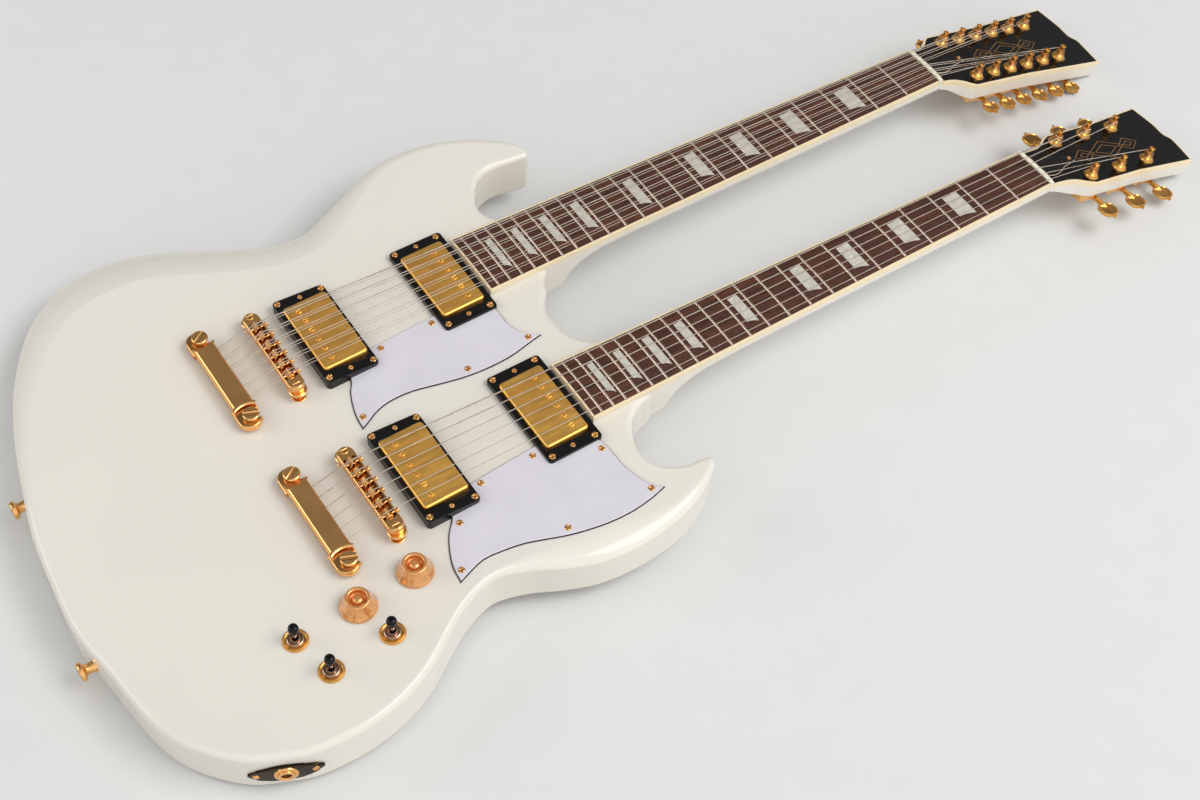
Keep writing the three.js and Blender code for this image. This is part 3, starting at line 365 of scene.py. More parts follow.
def painted(bm, chosen=lambda spot: True):
    """Gives the second material to the faces whose middles are chosen."""
    for face in bm.faces:
        face.material_index = int(chosen(face.calc_center_median()))
    return bm


def opened(bm):
    """Takes away a drawing's highest face."""
    top = max(bm.faces, key=lambda face: face.calc_center_median().z)
    bmesh.ops.delete(bm, geom=[top], context="FACES_ONLY")
    return bm


def soften(bm, width, segments=2, least=30):
    """Rounds the edges that turn by more than an angle."""
    edges = [edge for edge in bm.edges if len(edge.link_faces) == 2
             and edge.calc_face_angle() > math.radians(least)]
    bmesh.ops.bevel(bm, geom=edges, offset=width, offset_type="OFFSET", segments=segments,
                    profile=0.5, affect="EDGES", material=-1, clamp_overlap=True)
    return bm


def disc(radius, sides=ROUND, start=0.0, sweep=2 * math.pi):
    """Points round a circle, or along a part of it."""
    count = sides if sweep >= 2 * math.pi else sides + 1
    return [Vector((radius * math.cos(start + sweep * k / sides),
                    radius * math.sin(start + sweep * k / sides))) for k in range(count)]


def rounded(long, wide, radius, steps=6):
    """A rectangle with round corners, centred, long along X and wide along Y."""
    x, y = long / 2 - radius, wide / 2 - radius
    return [Vector(corner) + spot for k, corner in enumerate(((x, y), (-x, y), (-x, -y), (x, -y)))
            for spot in disc(radius, steps, k * QUARTER, QUARTER)]


def screw(radius, height, slots=1, slot=0.2, deep=0.45, turn=0.0):
    """A screw head with one slot or a cross, its slot turned by an angle."""
    floor = height * (1 - deep)
    bm = lathe([(0, -height), (radius * 0.9, -height), (radius, 0), (radius, floor), (0, floor)], 32)
    gap = radius * slot
    dome = radius * 0.22
    parts = 2 * slots
    for k in range(parts):
        middle = 2 * math.pi * k / parts + (QUARTER if slots == 1 else QUARTER / 2)
        half = math.asin(gap / radius)
        start, sweep = middle - math.pi / parts + half, 2 * math.pi / parts - 2 * half
        rim = disc(radius, 24 // parts, start, sweep)
        if slots > 1:
            rim.append(Vector((math.cos(middle), math.sin(middle))) * gap * math.sqrt(2))
        add(bm, plate(rim, [(0, floor - height * 0.02), (0, height - dome * 0.7),
                            (dome * 0.3, height - dome * 0.25), (dome, height)]))
    bmesh.ops.transform(bm, matrix=turned(turn, "Z"), verts=bm.verts)
    return bm


# Materials
LOOKS = {}
EVEN = (1, 1, 1)


def linear(colour):
    return [c / 12.92 if c <= 0.04045 else ((c + 0.055) / 1.055) ** 2.4 for c in colour]


def shade(colour, *shares):
    """A colour times one share, or times a share for each of its parts."""
    return tuple(min(1.0, c * s) for c, s in zip(colour, shares * 3))


def node(tree, kind, inputs, **settings):
    """A node with its settings, and each input given a value or linked to a socket."""
    made = tree.nodes.new(kind)
    for key, value in settings.items():
        setattr(made, key, value)
    for key, value in inputs.items():
        if isinstance(value, bpy.types.NodeSocket):
            tree.links.new(value, made.inputs[key])
        else:
            made.inputs[key].default_value = value
    return made


def place(tree):
    return node(tree, "ShaderNodeTexCoord", {}).outputs["Object"]


def pattern(tree, stretch, scale, detail=3.0, seed=0.0):
    """Noise on the piece's own coordinates, stretched along its axes."""
    moved = node(tree, "ShaderNodeMapping", {"Vector": place(tree), "Scale": stretch,
                                             "Location": (seed, seed, seed)})
    return node(tree, "ShaderNodeTexNoise", {"Vector": moved.outputs["Vector"], "Scale": scale,
                                             "Detail": detail}).outputs["Fac"]


def ramp(tree, value, stops):
    """A colour for each value, from stops of place and colour."""
    made = node(tree, "ShaderNodeValToRGB", {"Fac": value})
    steps = made.color_ramp.elements
    while len(steps) < len(stops):
        steps.new(0.5)
    for step, (spot, colour) in zip(steps, stops):
        step.position = spot
        step.color = (*linear(colour), 1)
    return made.outputs["Color"]


def toned(colour, low, high, scale, stretch=EVEN, detail=3.0, stops=(0.3, 0.7)):
    """A colour that drifts between two shades of itself."""
    return lambda tree: ramp(tree, pattern(tree, stretch, scale, detail), [
        (stops[0], shade(colour, low)), (stops[1], shade(colour, high))])


def rubbed(low, high, scale, stretch=EVEN):
    """Roughness that drifts from low to high."""
    return lambda tree: node(tree, "ShaderNodeMapRange", {
        "Value": pattern(tree, stretch, scale), "From Min": 0.3, "From Max": 0.7,
        "To Min": low, "To Max": high}).outputs["Result"]


def grained(scale, strength, distance, stretch=EVEN, detail=3.0, seed=0.0):
    """Bumps of a size, strength and height."""
    return lambda tree: (pattern(tree, stretch, scale, detail, seed), strength, distance)


def surface(name, sockets, colour, rough, bump=None):
    """A material whose shader has these socket values and these linked patterns."""
    material = bpy.data.materials.new(name)
    material.use_nodes = True
    tree = material.node_tree
    shader = tree.nodes["Principled BSDF"]
    for key, value in sockets.items():
        shader.inputs[key].default_value = value
    tree.links.new(colour(tree), shader.inputs["Base Color"])
    tree.links.new(rough(tree), shader.inputs["Roughness"])
    if bump:
        height, strength, distance = bump(tree)
        made = node(tree, "ShaderNodeBump", {"Height": height, "Strength": strength,
                                             "Distance": distance})
        tree.links.new(made.outputs["Normal"], shader.inputs["Normal"])
    LOOKS[name] = material


def lacquer(name, colour, rough, coat, ior):
    """Polished lacquer, with the faint unevenness of a sprayed and buffed coat."""
    surface(name, {"Coat Weight": coat, "Coat Roughness": 0.04, "IOR": ior},
            toned(colour, 0.985, 1.008, 5), rubbed(rough * 0.8, rough * 1.25, 40),
            grained(260, 0.05, 0.0004, detail=1))


def plastic(name, colour, rough, coat=0.2, grain=0.0002, uneven=0.02, ior=1.49):
    """Moulded plastic, with fine grain and buffing marks."""
    surface(name, {"Coat Weight": coat, "Coat Roughness": 0.1, "IOR": ior},
            toned(colour, 1 - uneven, 1 + uneven / 2, 35), rubbed(rough * 0.8, rough * 1.3, 300),
            grained(900, 0.06, grain))


def metal(name, colour, rough, stretch=EVEN, scale=180, strength=0.05):
    """Plated metal, with faint polishing marks and colour that shifts a little."""
    surface(name, {"Metallic": 1.0}, toned(colour, 0.95, 1.03, 45),
            rubbed(rough * 0.8, rough * 1.3, scale, stretch),
            grained(scale * 3, strength, 0.0003, stretch))


def rosewood(name, colour):
    """Open-grained wood along X, with dark pores."""
    def tone(tree):
        wood = ramp(tree, pattern(tree, (1, 12, 12), 22, 6), [
            (0.32, shade(colour, 0.8)), (0.5, colour), (0.7, shade(colour, 1.22))])
        pore = ramp(tree, pattern(tree, (1, 16, 16), 110, 2, 3.0),
                    [(0.34, (0.5, 0.45, 0.45)), (0.44, (1, 1, 1))])
        return node(tree, "ShaderNodeMix", {"Factor": 1.0, 6: wood, 7: pore},
                    data_type="RGBA", blend_type="MULTIPLY").outputs[2]

    surface(name, {"IOR": 1.45}, tone, rubbed(0.36, 0.55, 20, (1, 12, 12)),
            grained(60, 0.25, 0.0004, (1, 22, 22), 2, 3.0))


def pearl(name, colour):
    """Pearly inlay: cloudy bands that fold over one another."""
    def tone(tree):
        swirl = node(tree, "ShaderNodeTexNoise", {"Vector": place(tree), "Scale": 55.0,
                                                  "Detail": 4.0, "Distortion": 2.2})
        return ramp(tree, swirl.outputs["Fac"], [(spot, shade(colour, share)) for spot, share in (
            (0.3, 0.88), (0.45, 0.99), (0.55, 0.93), (0.68, 1.05))])

    surface(name, {"Coat Weight": 0.4, "Coat Roughness": 0.08}, tone, rubbed(0.18, 0.32, 90))


def amber(name, colour, metallic=0.55):
    """Clear tinted plastic over metallic paint, streaked outwards from the middle."""
    surface(name, {"Coat Weight": 1.0, "Coat Roughness": 0.03, "IOR": 1.49, "Metallic": metallic},
            toned(colour, 0.94, 1.05, 700, (1, 1, 0.3), 2, (0.32, 0.66)),
            rubbed(0.15, 0.28, 500, (1, 1, 0.3)))


def wound(name, colour):
    """Steel wire wound round a core: fine rings across the string."""
    def rings(tree):
        wave = node(tree, "ShaderNodeTexWave", {"Vector": place(tree), "Scale": 400.0,
                                                "Distortion": 0.0}, bands_direction="X")
        return wave.outputs["Fac"], 0.4, 0.0001

    surface(name, {"Metallic": 1.0}, toned(colour, 0.88, 1.05, 60), rubbed(0.2, 0.36, 200), rings)


def piece(name, bm, matrix, looks, body="guitar", replaces=None, flat=True):
    """Makes a drawing a piece in place on its body's empty, and hides the part it replaces."""
    bmesh.ops.transform(bm, matrix=matrix, verts=bm.verts)
    for face in bm.faces:
        face.smooth = True
    for edge in bm.edges:
        if len(edge.link_faces) == 2 and edge.calc_face_angle() > SHARP:
            edge.smooth = False
    mesh = bpy.data.meshes.new(name)
    bm.to_mesh(mesh)
    bm.free()
    for look in looks:
        mesh.materials.append(LOOKS[look])
    made = bpy.data.objects.new(name, mesh)
    bpy.context.scene.collection.objects.link(made)
    if flat:
        made.modifiers.new("Even normals", "WEIGHTED_NORMAL").keep_sharp = True
    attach(made, body)
    if replaces:
        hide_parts(replaces)


# Sizes and colours that may be changed
def length(name, text, value):
    return FloatProperty(name=name, description=text, default=value * MM, min=0.0, unit="LENGTH")


def tint(name, text, value):
    return FloatVectorProperty(name=name, description=text, default=value, size=3, min=0.0,
                               max=1.0, subtype="COLOR_GAMMA")


class GuitarSizes(bpy.types.PropertyGroup):
    """Sizes of the trim and fittings."""
    binding: length("Binding", "Width of the cream binding along the fretboards", 1.7)
    head_rim: length("Head rim", "Width of the binding seen round each head's face", 1.7)
    head_band: length("Head band", "Depth of the binding on each head's side", 4.4)
    fret_rise: length("Fret height", "Height of the fret crowns", 1.0)
    guard_ply: length("Guard ply", "Thickness of each pickguard layer", 0.62)
    ring_wall: length("Ring gap", "Gap between a pickup cover and its ring", 0.75)
    screw_radius: length("Screw radius", "Radius of the small screw heads", 2.5)
    windings: IntProperty(name="Windings", description="Turns of string round each post",
                          default=4, min=1, max=8)
    camera_lens: FloatProperty(name="Lens", description="Focal length of the camera",
                               default=54.35, min=10.0, unit="CAMERA")


class GuitarColours(bpy.types.PropertyGroup):
    """Colours of the finishes, as they look on a screen."""
    body: tint("Body", "Gloss lacquer of the body, necks and heads", (0.886, 0.863, 0.816))
    binding: tint("Binding", "Cream binding", (0.93, 0.85, 0.70))
    rosewood: tint("Rosewood", "Fretboards", (0.312, 0.178, 0.122))
    pearl: tint("Pearl", "Fretboard inlays", (0.81, 0.79, 0.74))
    guard: tint("Pickguard", "Pickguard top layer", (0.845, 0.826, 0.852))
    gold: tint("Gold", "Plated fittings", (0.96, 0.73, 0.46))
    chrome: tint("Chrome", "Switch levers", (0.86, 0.86, 0.87))
    steel: tint("Steel", "Frets and strings", (0.96, 0.89, 0.82))
    bone: tint("Bone", "Nuts", (0.91, 0.88, 0.8))
    amber: tint("Amber", "Control knobs", (0.88, 0.62, 0.36))
    black: tint("Black", "Head faces, pickup rings and back cover", (0.04, 0.032, 0.028))
    floor: tint("Floor", "Floor and backdrop", (0.86, 0.86, 0.85))


class GUITAR_OT_materials(bpy.types.Operator):
    """Makes the materials from the colours."""
    bl_idname = "guitar.materials"
    bl_label = "Materials"

    def execute(self, context):
        tints = context.scene.guitar_colours
        gold = tints.gold
        lacquer("lacquer", tints.body, 0.17, 0.2, 1.38)
        lacquer("black lacquer", tints.black, 0.08, 0.0, 1.32)
        plastic("cream binding", tints.binding, 0.22, 0.5)
        plastic("bone", tints.bone, 0.3)
        plastic("guard white", tints.guard, 0.14, 0.6, 0.0001)
        plastic("guard black", tints.black, 0.3, 0.0, ior=1.4)
        plastic("black plastic", tints.black, 0.24, 0.0, ior=1.4)
        rosewood("rosewood", tints.rosewood)
        pearl("pearl", tints.pearl)
        metal("gold", gold, 0.15)
        metal("satin gold", shade(gold, 1.05, 1.05, 0.86), 0.4, (1, 8, 8), 60, 0.03)
        metal("brass", shade(gold, 0.92, 0.9, 0.76), 0.28)
        # A darker copy of the gold for the buttons' dished faces: painted dark reflection.
        metal("gold with painted dark reflection", shade(gold, 0.72, 0.69, 0.56), 0.28, (8, 1, 1), 60, 0.03)
        # A darker copy of the gold for the bridge well, hook tops and stud flanges: painted shade and
        # painted dark reflection.
        metal("gold with painted shade and dark reflection", shade(gold, 0.76), 0.3)
        metal("coil", shade(gold, 0.88), 0.26)
        metal("gold line", shade(gold, 0.85), 0.3)
        # A near-black copy of the gold for the jack plate: painted dark reflection.
        metal("gold with painted black reflection", shade(gold, 0.2), 0.12)
        metal("chrome", tints.chrome, 0.08)
        metal("warm chrome", (0.72, 0.6, 0.52), 0.16)
        metal("fret wire", tints.steel, 0.26)
        metal("steel", tints.steel, 0.24)
        wound("wound steel", tints.steel)
        amber("amber", tints.amber)
        # A darker, more orange copy of the amber for the knobs' hollows: painted shade.
        amber("amber with painted shade", shade(tints.amber, 0.95, 0.78, 0.5), 0.4)
        return {"FINISHED"}


def body_outline(steps=8):
    """The body's outline as smooth points, with the bevel's width as their height, each with
    its direction ahead."""
    def rows(shares, across):
        return [(along * TAIL_REACH, across(side), EDGE_ROUND + bevel * (BEVEL_WIDTH - EDGE_ROUND))
                for along, side, bevel in shares]

    spots = spline([*rows(TAIL_SHARES, lambda share: share * NECK_SPACING),
                    *rows(UPPER_SHARES, lambda share: NECK_SPACING + share * UPPER_WING),
                    *rows(CUTAWAY_SHARES, lambda share: share * NECK_SPACING),
                    *rows(LOWER_SHARES, lambda share: -share * LOWER_WING)], steps, True)
    return [(spot, (spots[(k + 1) % len(spots)] - spots[k - 1]).xy.normalized())
            for k, spot in enumerate(spots)]


def under(angle, width):
    """Inset and height of the rounded back edge at an angle of its curve."""
    reach = min(EDGE_ROUND, width)
    return reach * (1 - math.cos(angle)), -BODY_THICK + reach * (1 - math.sin(angle))


def over(angle, width):
    """Inset and height of the carved bevel at an angle of its curve."""
    wide = max(0.0, width - EDGE_ROUND)
    flat = BEVEL_FLAT * wide / (BEVEL_WIDTH - EDGE_ROUND)
    steady = angle / QUARTER
    depth = width - wide * (1 - BEVEL_SLOPE)
    return (width * ((1 - math.cos(angle)) * (1 - flat) + steady * flat),
            -depth * ((1 - math.sin(angle)) * (1 - flat) + (1 - steady) * flat))


class GUITAR_OT_body(bpy.types.Operator):
    """Makes the body with its carved bevel and rounded back edge."""
    bl_idname = "guitar.body"
    bl_label = "Body"

    def execute(self, context):
        cuts = [(under, QUARTER * (1 - k / 5)) for k in range(6)]
        cuts += [(over, QUARTER * k / 12) for k in range(13)]
        spots = body_outline()
        rings = []
        for cut, angle in cuts:
            ring = [(spot, ahead, *cut(angle, spot.z)) for spot, ahead in spots]
            rings.append([(spot.x + inset * ahead.y, spot.y - inset * ahead.x, z)
                          for spot, ahead, inset, z in ring])
        piece("body_shell", skin(rings), BODY, ["lacquer"], replaces="body")
        return {"FINISHED"}


def neck_ring(x, half, side, centre, top=-BOARD_THICK, arc=20):
    """A cross-section of a neck: flat on top, round below."""
    return [(x, half, top), (x, -half, top)] + [
        (x, -half * math.cos(angle), top - side - (centre - side) * math.sin(angle))
        for angle in (math.pi * k / arc for k in range(arc + 1))]


class GUITAR_OT_necks(bpy.types.Operator):
    """Makes both necks, from the head to the heel and the tenon in the body."""
    bl_idname = "guitar.necks"
    bl_label = "Necks"

    def execute(self, context):
        heel = SEAT_X + HEEL_LENGTH
        # The neck's depth at places along it
        shaft = [(NUT_LENGTH, 15.5), (0, 15.5), (heel / 2, 16.25), (heel, 17)]
        for neck in NECKS:
            rows = [(x, half_at(neck, x), depth * 0.16, depth) for x, depth in shaft]
            rows += [(x, half_at(neck, x), side * HEEL_DEPTH, centre * HEEL_DEPTH)
                     for x, side, centre in ((heel - along * HEEL_LENGTH, *rest)
                                             for along, *rest in HEEL_SHARES)]
            rings = [neck_ring(*row) for row in spline(rows, 6)]
            wide = half_at(neck, SEAT_X)
            rings.append(neck_ring(SEAT_X - POCKET, wide, HEEL_DEPTH, HEEL_DEPTH))
            rings += [neck_ring(x, wide - 2, 19.5, 24.5)
                      for x in (SEAT_X - POCKET - 0.05, SEAT_X - TENON_LENGTH)]
            # Two rings under the head, where the neck's round runs out
            blend = neck.board.inverted() @ neck.head
            start = [[blend @ Vector(point) for point in neck_ring(
                x, neck.nut_half * share, depth * 0.16, depth, -0.5)]
                for x, share, depth in ((34, 0.55, 14.4), (20, 0.86, 14.9))]
            piece(f"neck_shaft_{neck.tag}", skin(start + rings), neck.board, ["lacquer"],
                  replaces=f"neck_{neck.tag}")
            # The wedge between the leaning body and the fretboard
            low = to_body(BOARD_END, 0, -BOARD_THICK).z
            wedge = [(on_body(x), side * half_at(neck, x)) for x, side in (
                (HINGE_X + 8, -1), (HINGE_X + 8, 1), (BOARD_END, 1), (BOARD_END, -1))]
            shim = skin([[(*spot, -0.2) for spot in wedge],
                         [(*spot, z) for spot, z in zip(wedge, (0.3, 0.3, low, low))]])
            piece(f"board_shim_{neck.tag}", shim, neck.top, ["lacquer"])
        return {"FINISHED"}


def head_outline(neck):
    """Outline of a head in its own frame, from the nut round the tip."""
    def rows(shares, side):
        return [(along * neck.head_length, side * across * neck.head_half)
                for along, across in shares]

    def smoothed(row):
        return spline(row[:5]) + row[5:]

    left, right = rows(neck.head_shares, 1), rows(neck.head_shares, -1)
    tip = spline([left[-1], *rows(HEAD_TIP_SHARES, 1), right[-1]])
    return smoothed(left)[:-1] + tip + smoothed(right)[-2::-1]


def thin_to_neck(bm, band, reach=28.0, least=0.58):
    """Draws the wall's lower edge up towards the nut, where the neck's round takes over."""
    for share in (1, 0.75, 0.5, 0.25):
        bmesh.ops.bisect_plane(bm, geom=bm.verts[:] + bm.edges[:] + bm.faces[:], dist=1e-4,
                               plane_co=(reach * share, 0, 0), plane_no=(1, 0, 0))
    for vert in bm.verts:
        if vert.co.z < -band and vert.co.x < reach:
            share = vert.co.x / reach
            vert.co.z *= least + (1 - least) * share * share * (3 - 2 * share)
    return bm


def line_inlay(centre):
    """Plain nested lozenges in thin gold line."""
    bm = bmesh.new()
    for long, wide, shift in ((24, 11.5, 0), (15, 6.5, 0), (13, 8, -29), (13, 8, 29),
                              (6, 3.6, -29), (6, 3.6, 29)):
        outer = [(long, 0), (0, wide), (-long, 0), (0, -wide)]
        inner = inwards(outer, 0.8)
        for k in range(4):
            strip = [outer[k], outer[k - 3], inner[k - 3], inner[k]]
            add(bm, plate(strip, [(0, -0.2), (0, 0.06)]), at(centre + shift))
    return bm


class GUITAR_OT_heads(bpy.types.Operator):
    """Makes the bound heads, their black faces, line inlays and truss rod covers."""
    bl_idname = "guitar.heads"
    bl_label = "Heads"

    def execute(self, context):
        sizes = context.scene.guitar_sizes
        rim, band = sizes.head_rim / MM, sizes.head_band / MM
        half = spline([(along * 45, across * 13) for along, across in COVER_SHARES])
        bell = half + [(x, -y) for x, y in reversed(half)]
        for neck in NECKS:
            bm = plate(head_outline(neck), [
                (1.6, -HEAD_THICK), (0.5, -HEAD_THICK + 0.5), (0, -HEAD_THICK + 1.6), (0, -band),
                (0, -0.35), (0.3, 0), (rim, 0)], [0, 0, 0, 0, 1, 1, 1, 2])
            piece(f"head_{neck.tag}", thin_to_neck(bm, band + 0.1), neck.head,
                  ["lacquer", "cream binding", "black lacquer"])
            bm = plate(bell, [(0, 0), (0, 1.4), (0.28, 1.65), (0.7, 1.65)], [0, 0, 1, 0, 0])
            piece(f"truss_cover_{neck.tag}", bm, neck.head, ["black plastic", "cream binding"])
            piece(f"truss_screw_{neck.tag}", screw(2, 1, 2), neck.head @ at(39.5, 0, 1.9),
                  ["gold"])
            piece(f"head_inlay_{neck.tag}", line_inlay(neck.head_length * 0.53), neck.head,
                  ["gold line"], flat=False)
        return {"FINISHED"}


def board_strip(x, start, end, count=12):
    """A cross-section of a fretboard from one place across it to another."""
    across = [start + (end - start) * k / count for k in range(count, -1, -1)]
    return [(x, y, -BOARD_THICK) for y in (start, end)] + [(x, y, camber(y)) for y in across]


def frets(neck, rise, bind):
    """Round crowns on the camber, lower at their ends."""
    bm = bmesh.new()
    wide = FRET_WIDTH / 2
    for fret in range(1, FRETS + 1):
        x = fret_x(fret)
        reach = half_at(neck, x) - bind - 0.1
        rings = []
        for k in range(-8, 9):
            y = k / 8 * reach
            tall = rise * min(1.0, 0.25 + (1 - abs(k / 8)) * reach / 0.9)
            rings.append([(x + wide * math.cos(turn), y, camber(y) + tall * math.sin(turn))
                          for turn in (math.pi * n / 8 for n in range(9))]
                         + [(x - wide, y, camber(y) - 0.3), (x + wide, y, camber(y) - 0.3)])
        add(bm, skin(rings))
    return bm


def inlays(neck):
    """Blocks that are longer on the treble side, with their ends hollowed."""
    bm = bmesh.new()
    for fret in (3, 5, 7, 9, 12, 15, 17, 19, 21):
        pitch = fret_x(fret - 1) - fret_x(fret)
        half = half_at(neck, fret_x(fret))
        rings = []
        for share in (k / 8 for k in range(9)):
            x = fret_x(fret - 1) - pitch * (0.235 + 0.48 * share)
            hollow = 0.9 * math.sin(math.pi * share)
            far = half * (0.545 - 0.04 * share) - hollow / 2
            near = -half * (0.62 - 0.14 * share) + hollow
            across = [far + (near - far) * n / 6 for n in range(6, -1, -1)]
            rings.append([(x, y, camber(y) - 0.4) for y in (far, near)]
                         + [(x, y, camber(y) + 0.06) for y in across])
        add(bm, skin(rings))
    return bm


def nut(neck, top=1.75):
    """A bone nut that falls away towards the head."""
    rings = []
    for k in range(13):
        y = neck.nut_half * (2 * k / 12 - 1)
        edge = 0.7 if k in (0, 12) else 0.0
        lift = camber(y) + top - edge
        front = NUT_LENGTH - edge / 2
        rings.append([(x, y, z) for x, z in (
            (front, -BOARD_THICK), (front, lift - 1.0), (NUT_LENGTH - 1.2, lift - 0.15),
            (0.4 + edge / 2, lift), (edge / 2, lift - 0.35), (edge / 2, -BOARD_THICK))])
    return soften(skin(rings), 0.25)


class GUITAR_OT_fretboards(bpy.types.Operator):
    """Makes the fretboards with binding, frets, inlays and nuts."""
    bl_idname = "guitar.fretboards"
    bl_label = "Fretboards"

    def execute(self, context):
        sizes = context.scene.guitar_sizes
        bind = sizes.binding / MM
        ends = (0, BOARD_END / 2, BOARD_END)
        for neck in NECKS:
            def wood(x):
                half = half_at(neck, x)
                return board_strip(x, bind - half, half - bind)

            def edge(side):
                rows = [(x, half_at(neck, x)) for x in ends]
                return skin([board_strip(x, side * (half - bind), side * half, 2)
                             for x, half in rows])

            low_end = skin([wood(BOARD_END + bind), wood(BOARD_END)])
            for name, bm, look, slot, stands_for in (
                    ("board", skin([wood(x) for x in (*ends[:2], BOARD_END + bind)]), "rosewood",
                     "rosewood", f"fretboard_{neck.tag}"),
                    ("board_binding", soften(gathered(edge(-1), edge(1), low_end), 0.35),
                     "cream binding", "rosewood", None),
                    ("frets", frets(neck, sizes.fret_rise / MM, bind), "fret wire",
                     "string_steel", None),
                    ("inlays", inlays(neck), "pearl", "rosewood", None),
                    ("nut", nut(neck), "bone", "rosewood", None)):
                piece(f"{name}_{neck.tag}", bm, neck.board, [look], replaces=stands_for)
        return {"FINISHED"}


def bushing():
    """The collar of a post on the head's face."""
    return lathe([(3.2, -0.4), (6.5, -0.4), (6.7, 0.1), (6.6, 0.5), (6.0, 0.8), (5.8, 1.3),
                  (5.5, 2.2), (4.8, 3.0), (4.1, 3.7), (3.5, 4.5), (3.2, 4.5), (3.2, -0.4)], 32)


def housing(side):
    """A housing with its screw, and the collar of its worm shaft."""
    bm = plate(rounded(19, 15, 2.6), [(0, 0.3), (0, -6.4), (0.3, -7.2), (1.0, -7.9), (2.0, -8.2)])
    collar = lathe([(2.45, -0.4), (3.9, -0.4), (3.9, 0.9), (3.4, 1.4), (2.45, 1.4),
                    (2.45, -0.4)], 24)
    return gathered((bm, at(9 - 19 * 5 / 6 + 9.5)),
                    (screw(1.9, 0.7, 2), at(-2.6, 0, -7.95) @ turned(math.pi, "X")),
                    (collar, at(9, side * 7.1, -4.1) @ turned(-side * QUARTER, "X")))


def post():
    """A waisted string post with a hollow top."""
    return lathe([(0, -12.5), (3, -12.5), (3.1, 4.4), (3.0, 5.2), (2.7, 6.6), (2.4, 8.2), (2.3, 9.4),
                  (2.5, 10.6), (2.75, 11.6), (2.7, 12.2), (2.2, 12.5), (1.5, 12.4), (1.3, 11.6),
                  (0, 11.6)], 24)


def button(neck, pivot):
    """A button from its pivot outwards: a thin plate with raised rims, stem and nub."""
    long, half = neck.button_length, neck.button_half
    middle = neck.button_reach - pivot + 0.02 * long
    left = spline([(half * across, middle + along * long) for along, across in BUTTON_SHARES])
    face = [(2.2, 0.7), (1.6, 0.8), (1.2, 1.25), (0.8, 1.5), (0.35, 1.3), (0, 0.5)]
    # The dished faces take the second, darker gold as a painted dark reflection; the rims keep the
    # first.
    bm = plate(left + [(-x, y) for x, y in reversed(left)],
               [(inset, -z) for inset, z in face] + face[::-1],
               [1, 1] + [0] * (2 * len(face) - 3) + [1, 1])
    root, tip = middle - long / 2, middle + long / 2
    stem = lathe([(0, -5.5), (2.2, -5.5)] + [(radius, root + rise) for radius, rise in (
        (2.2, -5.4), (2.4, -3.6), (2.7, -2.0), (3.0, -0.6), (2.9, 0.6), (2.4, 1.8), (1.9, 3.0),
        (1.2, 4.4), (0, 4.8))], 20)
    nub = lathe([(0, tip - 1.6), (1.2, tip - 1.6), (1.3, tip), (1.5, tip + 0.9), (1.3, tip + 1.7),
                 (0, tip + 2.0)], 16)
    return gathered((bm, turned(QUARTER, "X")), stem, nub)


class GUITAR_OT_machine_heads(bpy.types.Operator):
    """Makes the housings, bushings, posts and buttons."""
    bl_idname = "guitar.machine_heads"
    bl_label = "Machine heads"

    def execute(self, context):
        for neck in NECKS:
            housings, bushings = bmesh.new(), bmesh.new()
            to_head = neck.head.inverted()
            for hand, side in (("l", 1), ("r", -1)):
                for k in range(neck.posts):
                    tag = f"{neck.tag}_{hand}{k + 1}"
                    x, y, _ = to_head @ Vector(JOINTS[f"turn_post_{tag}"]["pos_m"])
                    add(bushings, bushing(), at(x, y))
                    add(housings, housing(side), at(x, y, -HEAD_THICK))
                    piece(f"tuner_post_{tag}", post(), neck.head @ at(x, y), ["brass"],
                          f"post_{tag}", f"post_{tag}")
                    pivot = to_head @ Vector(JOINTS[f"turn_button_{tag}"]["pos_m"])
                    piece(f"tuner_button_{tag}", button(neck, abs(pivot.y)),
                          neck.head @ at(*pivot) @ turned(-side * QUARTER, "X"),
                          ["brass", "gold with painted dark reflection"], f"button_{tag}", f"button_{tag}")
            piece(f"tuner_bushings_{neck.tag}", bushings, neck.head, ["brass"])
            piece(f"tuner_housings_{neck.tag}", housings, neck.head, ["gold"])
        return {"FINISHED"}


def string_path(neck, nut_y, saddle_y, radius, spot, side, turns):
    """From the tailpiece over the saddle and nut, then down round the post."""
    to_head = neck.head.inverted() @ neck.board
    from_head = to_head.inverted()
    points = [neck.board.inverted() @ neck.top @ Vector((on_body(TAILPIECE_X) + 2, saddle_y, 7)),
              Vector((SADDLE_X, saddle_y, SADDLE_LEVEL + camber(saddle_y))),
              Vector((0, nut_y, 2.0 + camber(nut_y))),
              Vector((NUT_LENGTH, nut_y, 1.6 + camber(nut_y)))]
    reach = POST_WAIST + radius
    away = (spot - to_head @ points[-1]).xy
    lean = math.asin(min(0.9, reach / away.length))
    touch = math.atan2(away.y, away.x) - side * QUARTER + side * lean
    steps = 14
    for k in range(turns * steps + 1):
        turn = touch - side * 2 * math.pi * k / steps
        down = k / steps / turns
        wide = reach + (0.5 + 1.4 * radius) * down
        points.append(from_head @ Vector((
            spot.x + wide * math.cos(turn), spot.y + wide * math.sin(turn),
            COIL_TOP - COIL_DROP * down)))
    return points


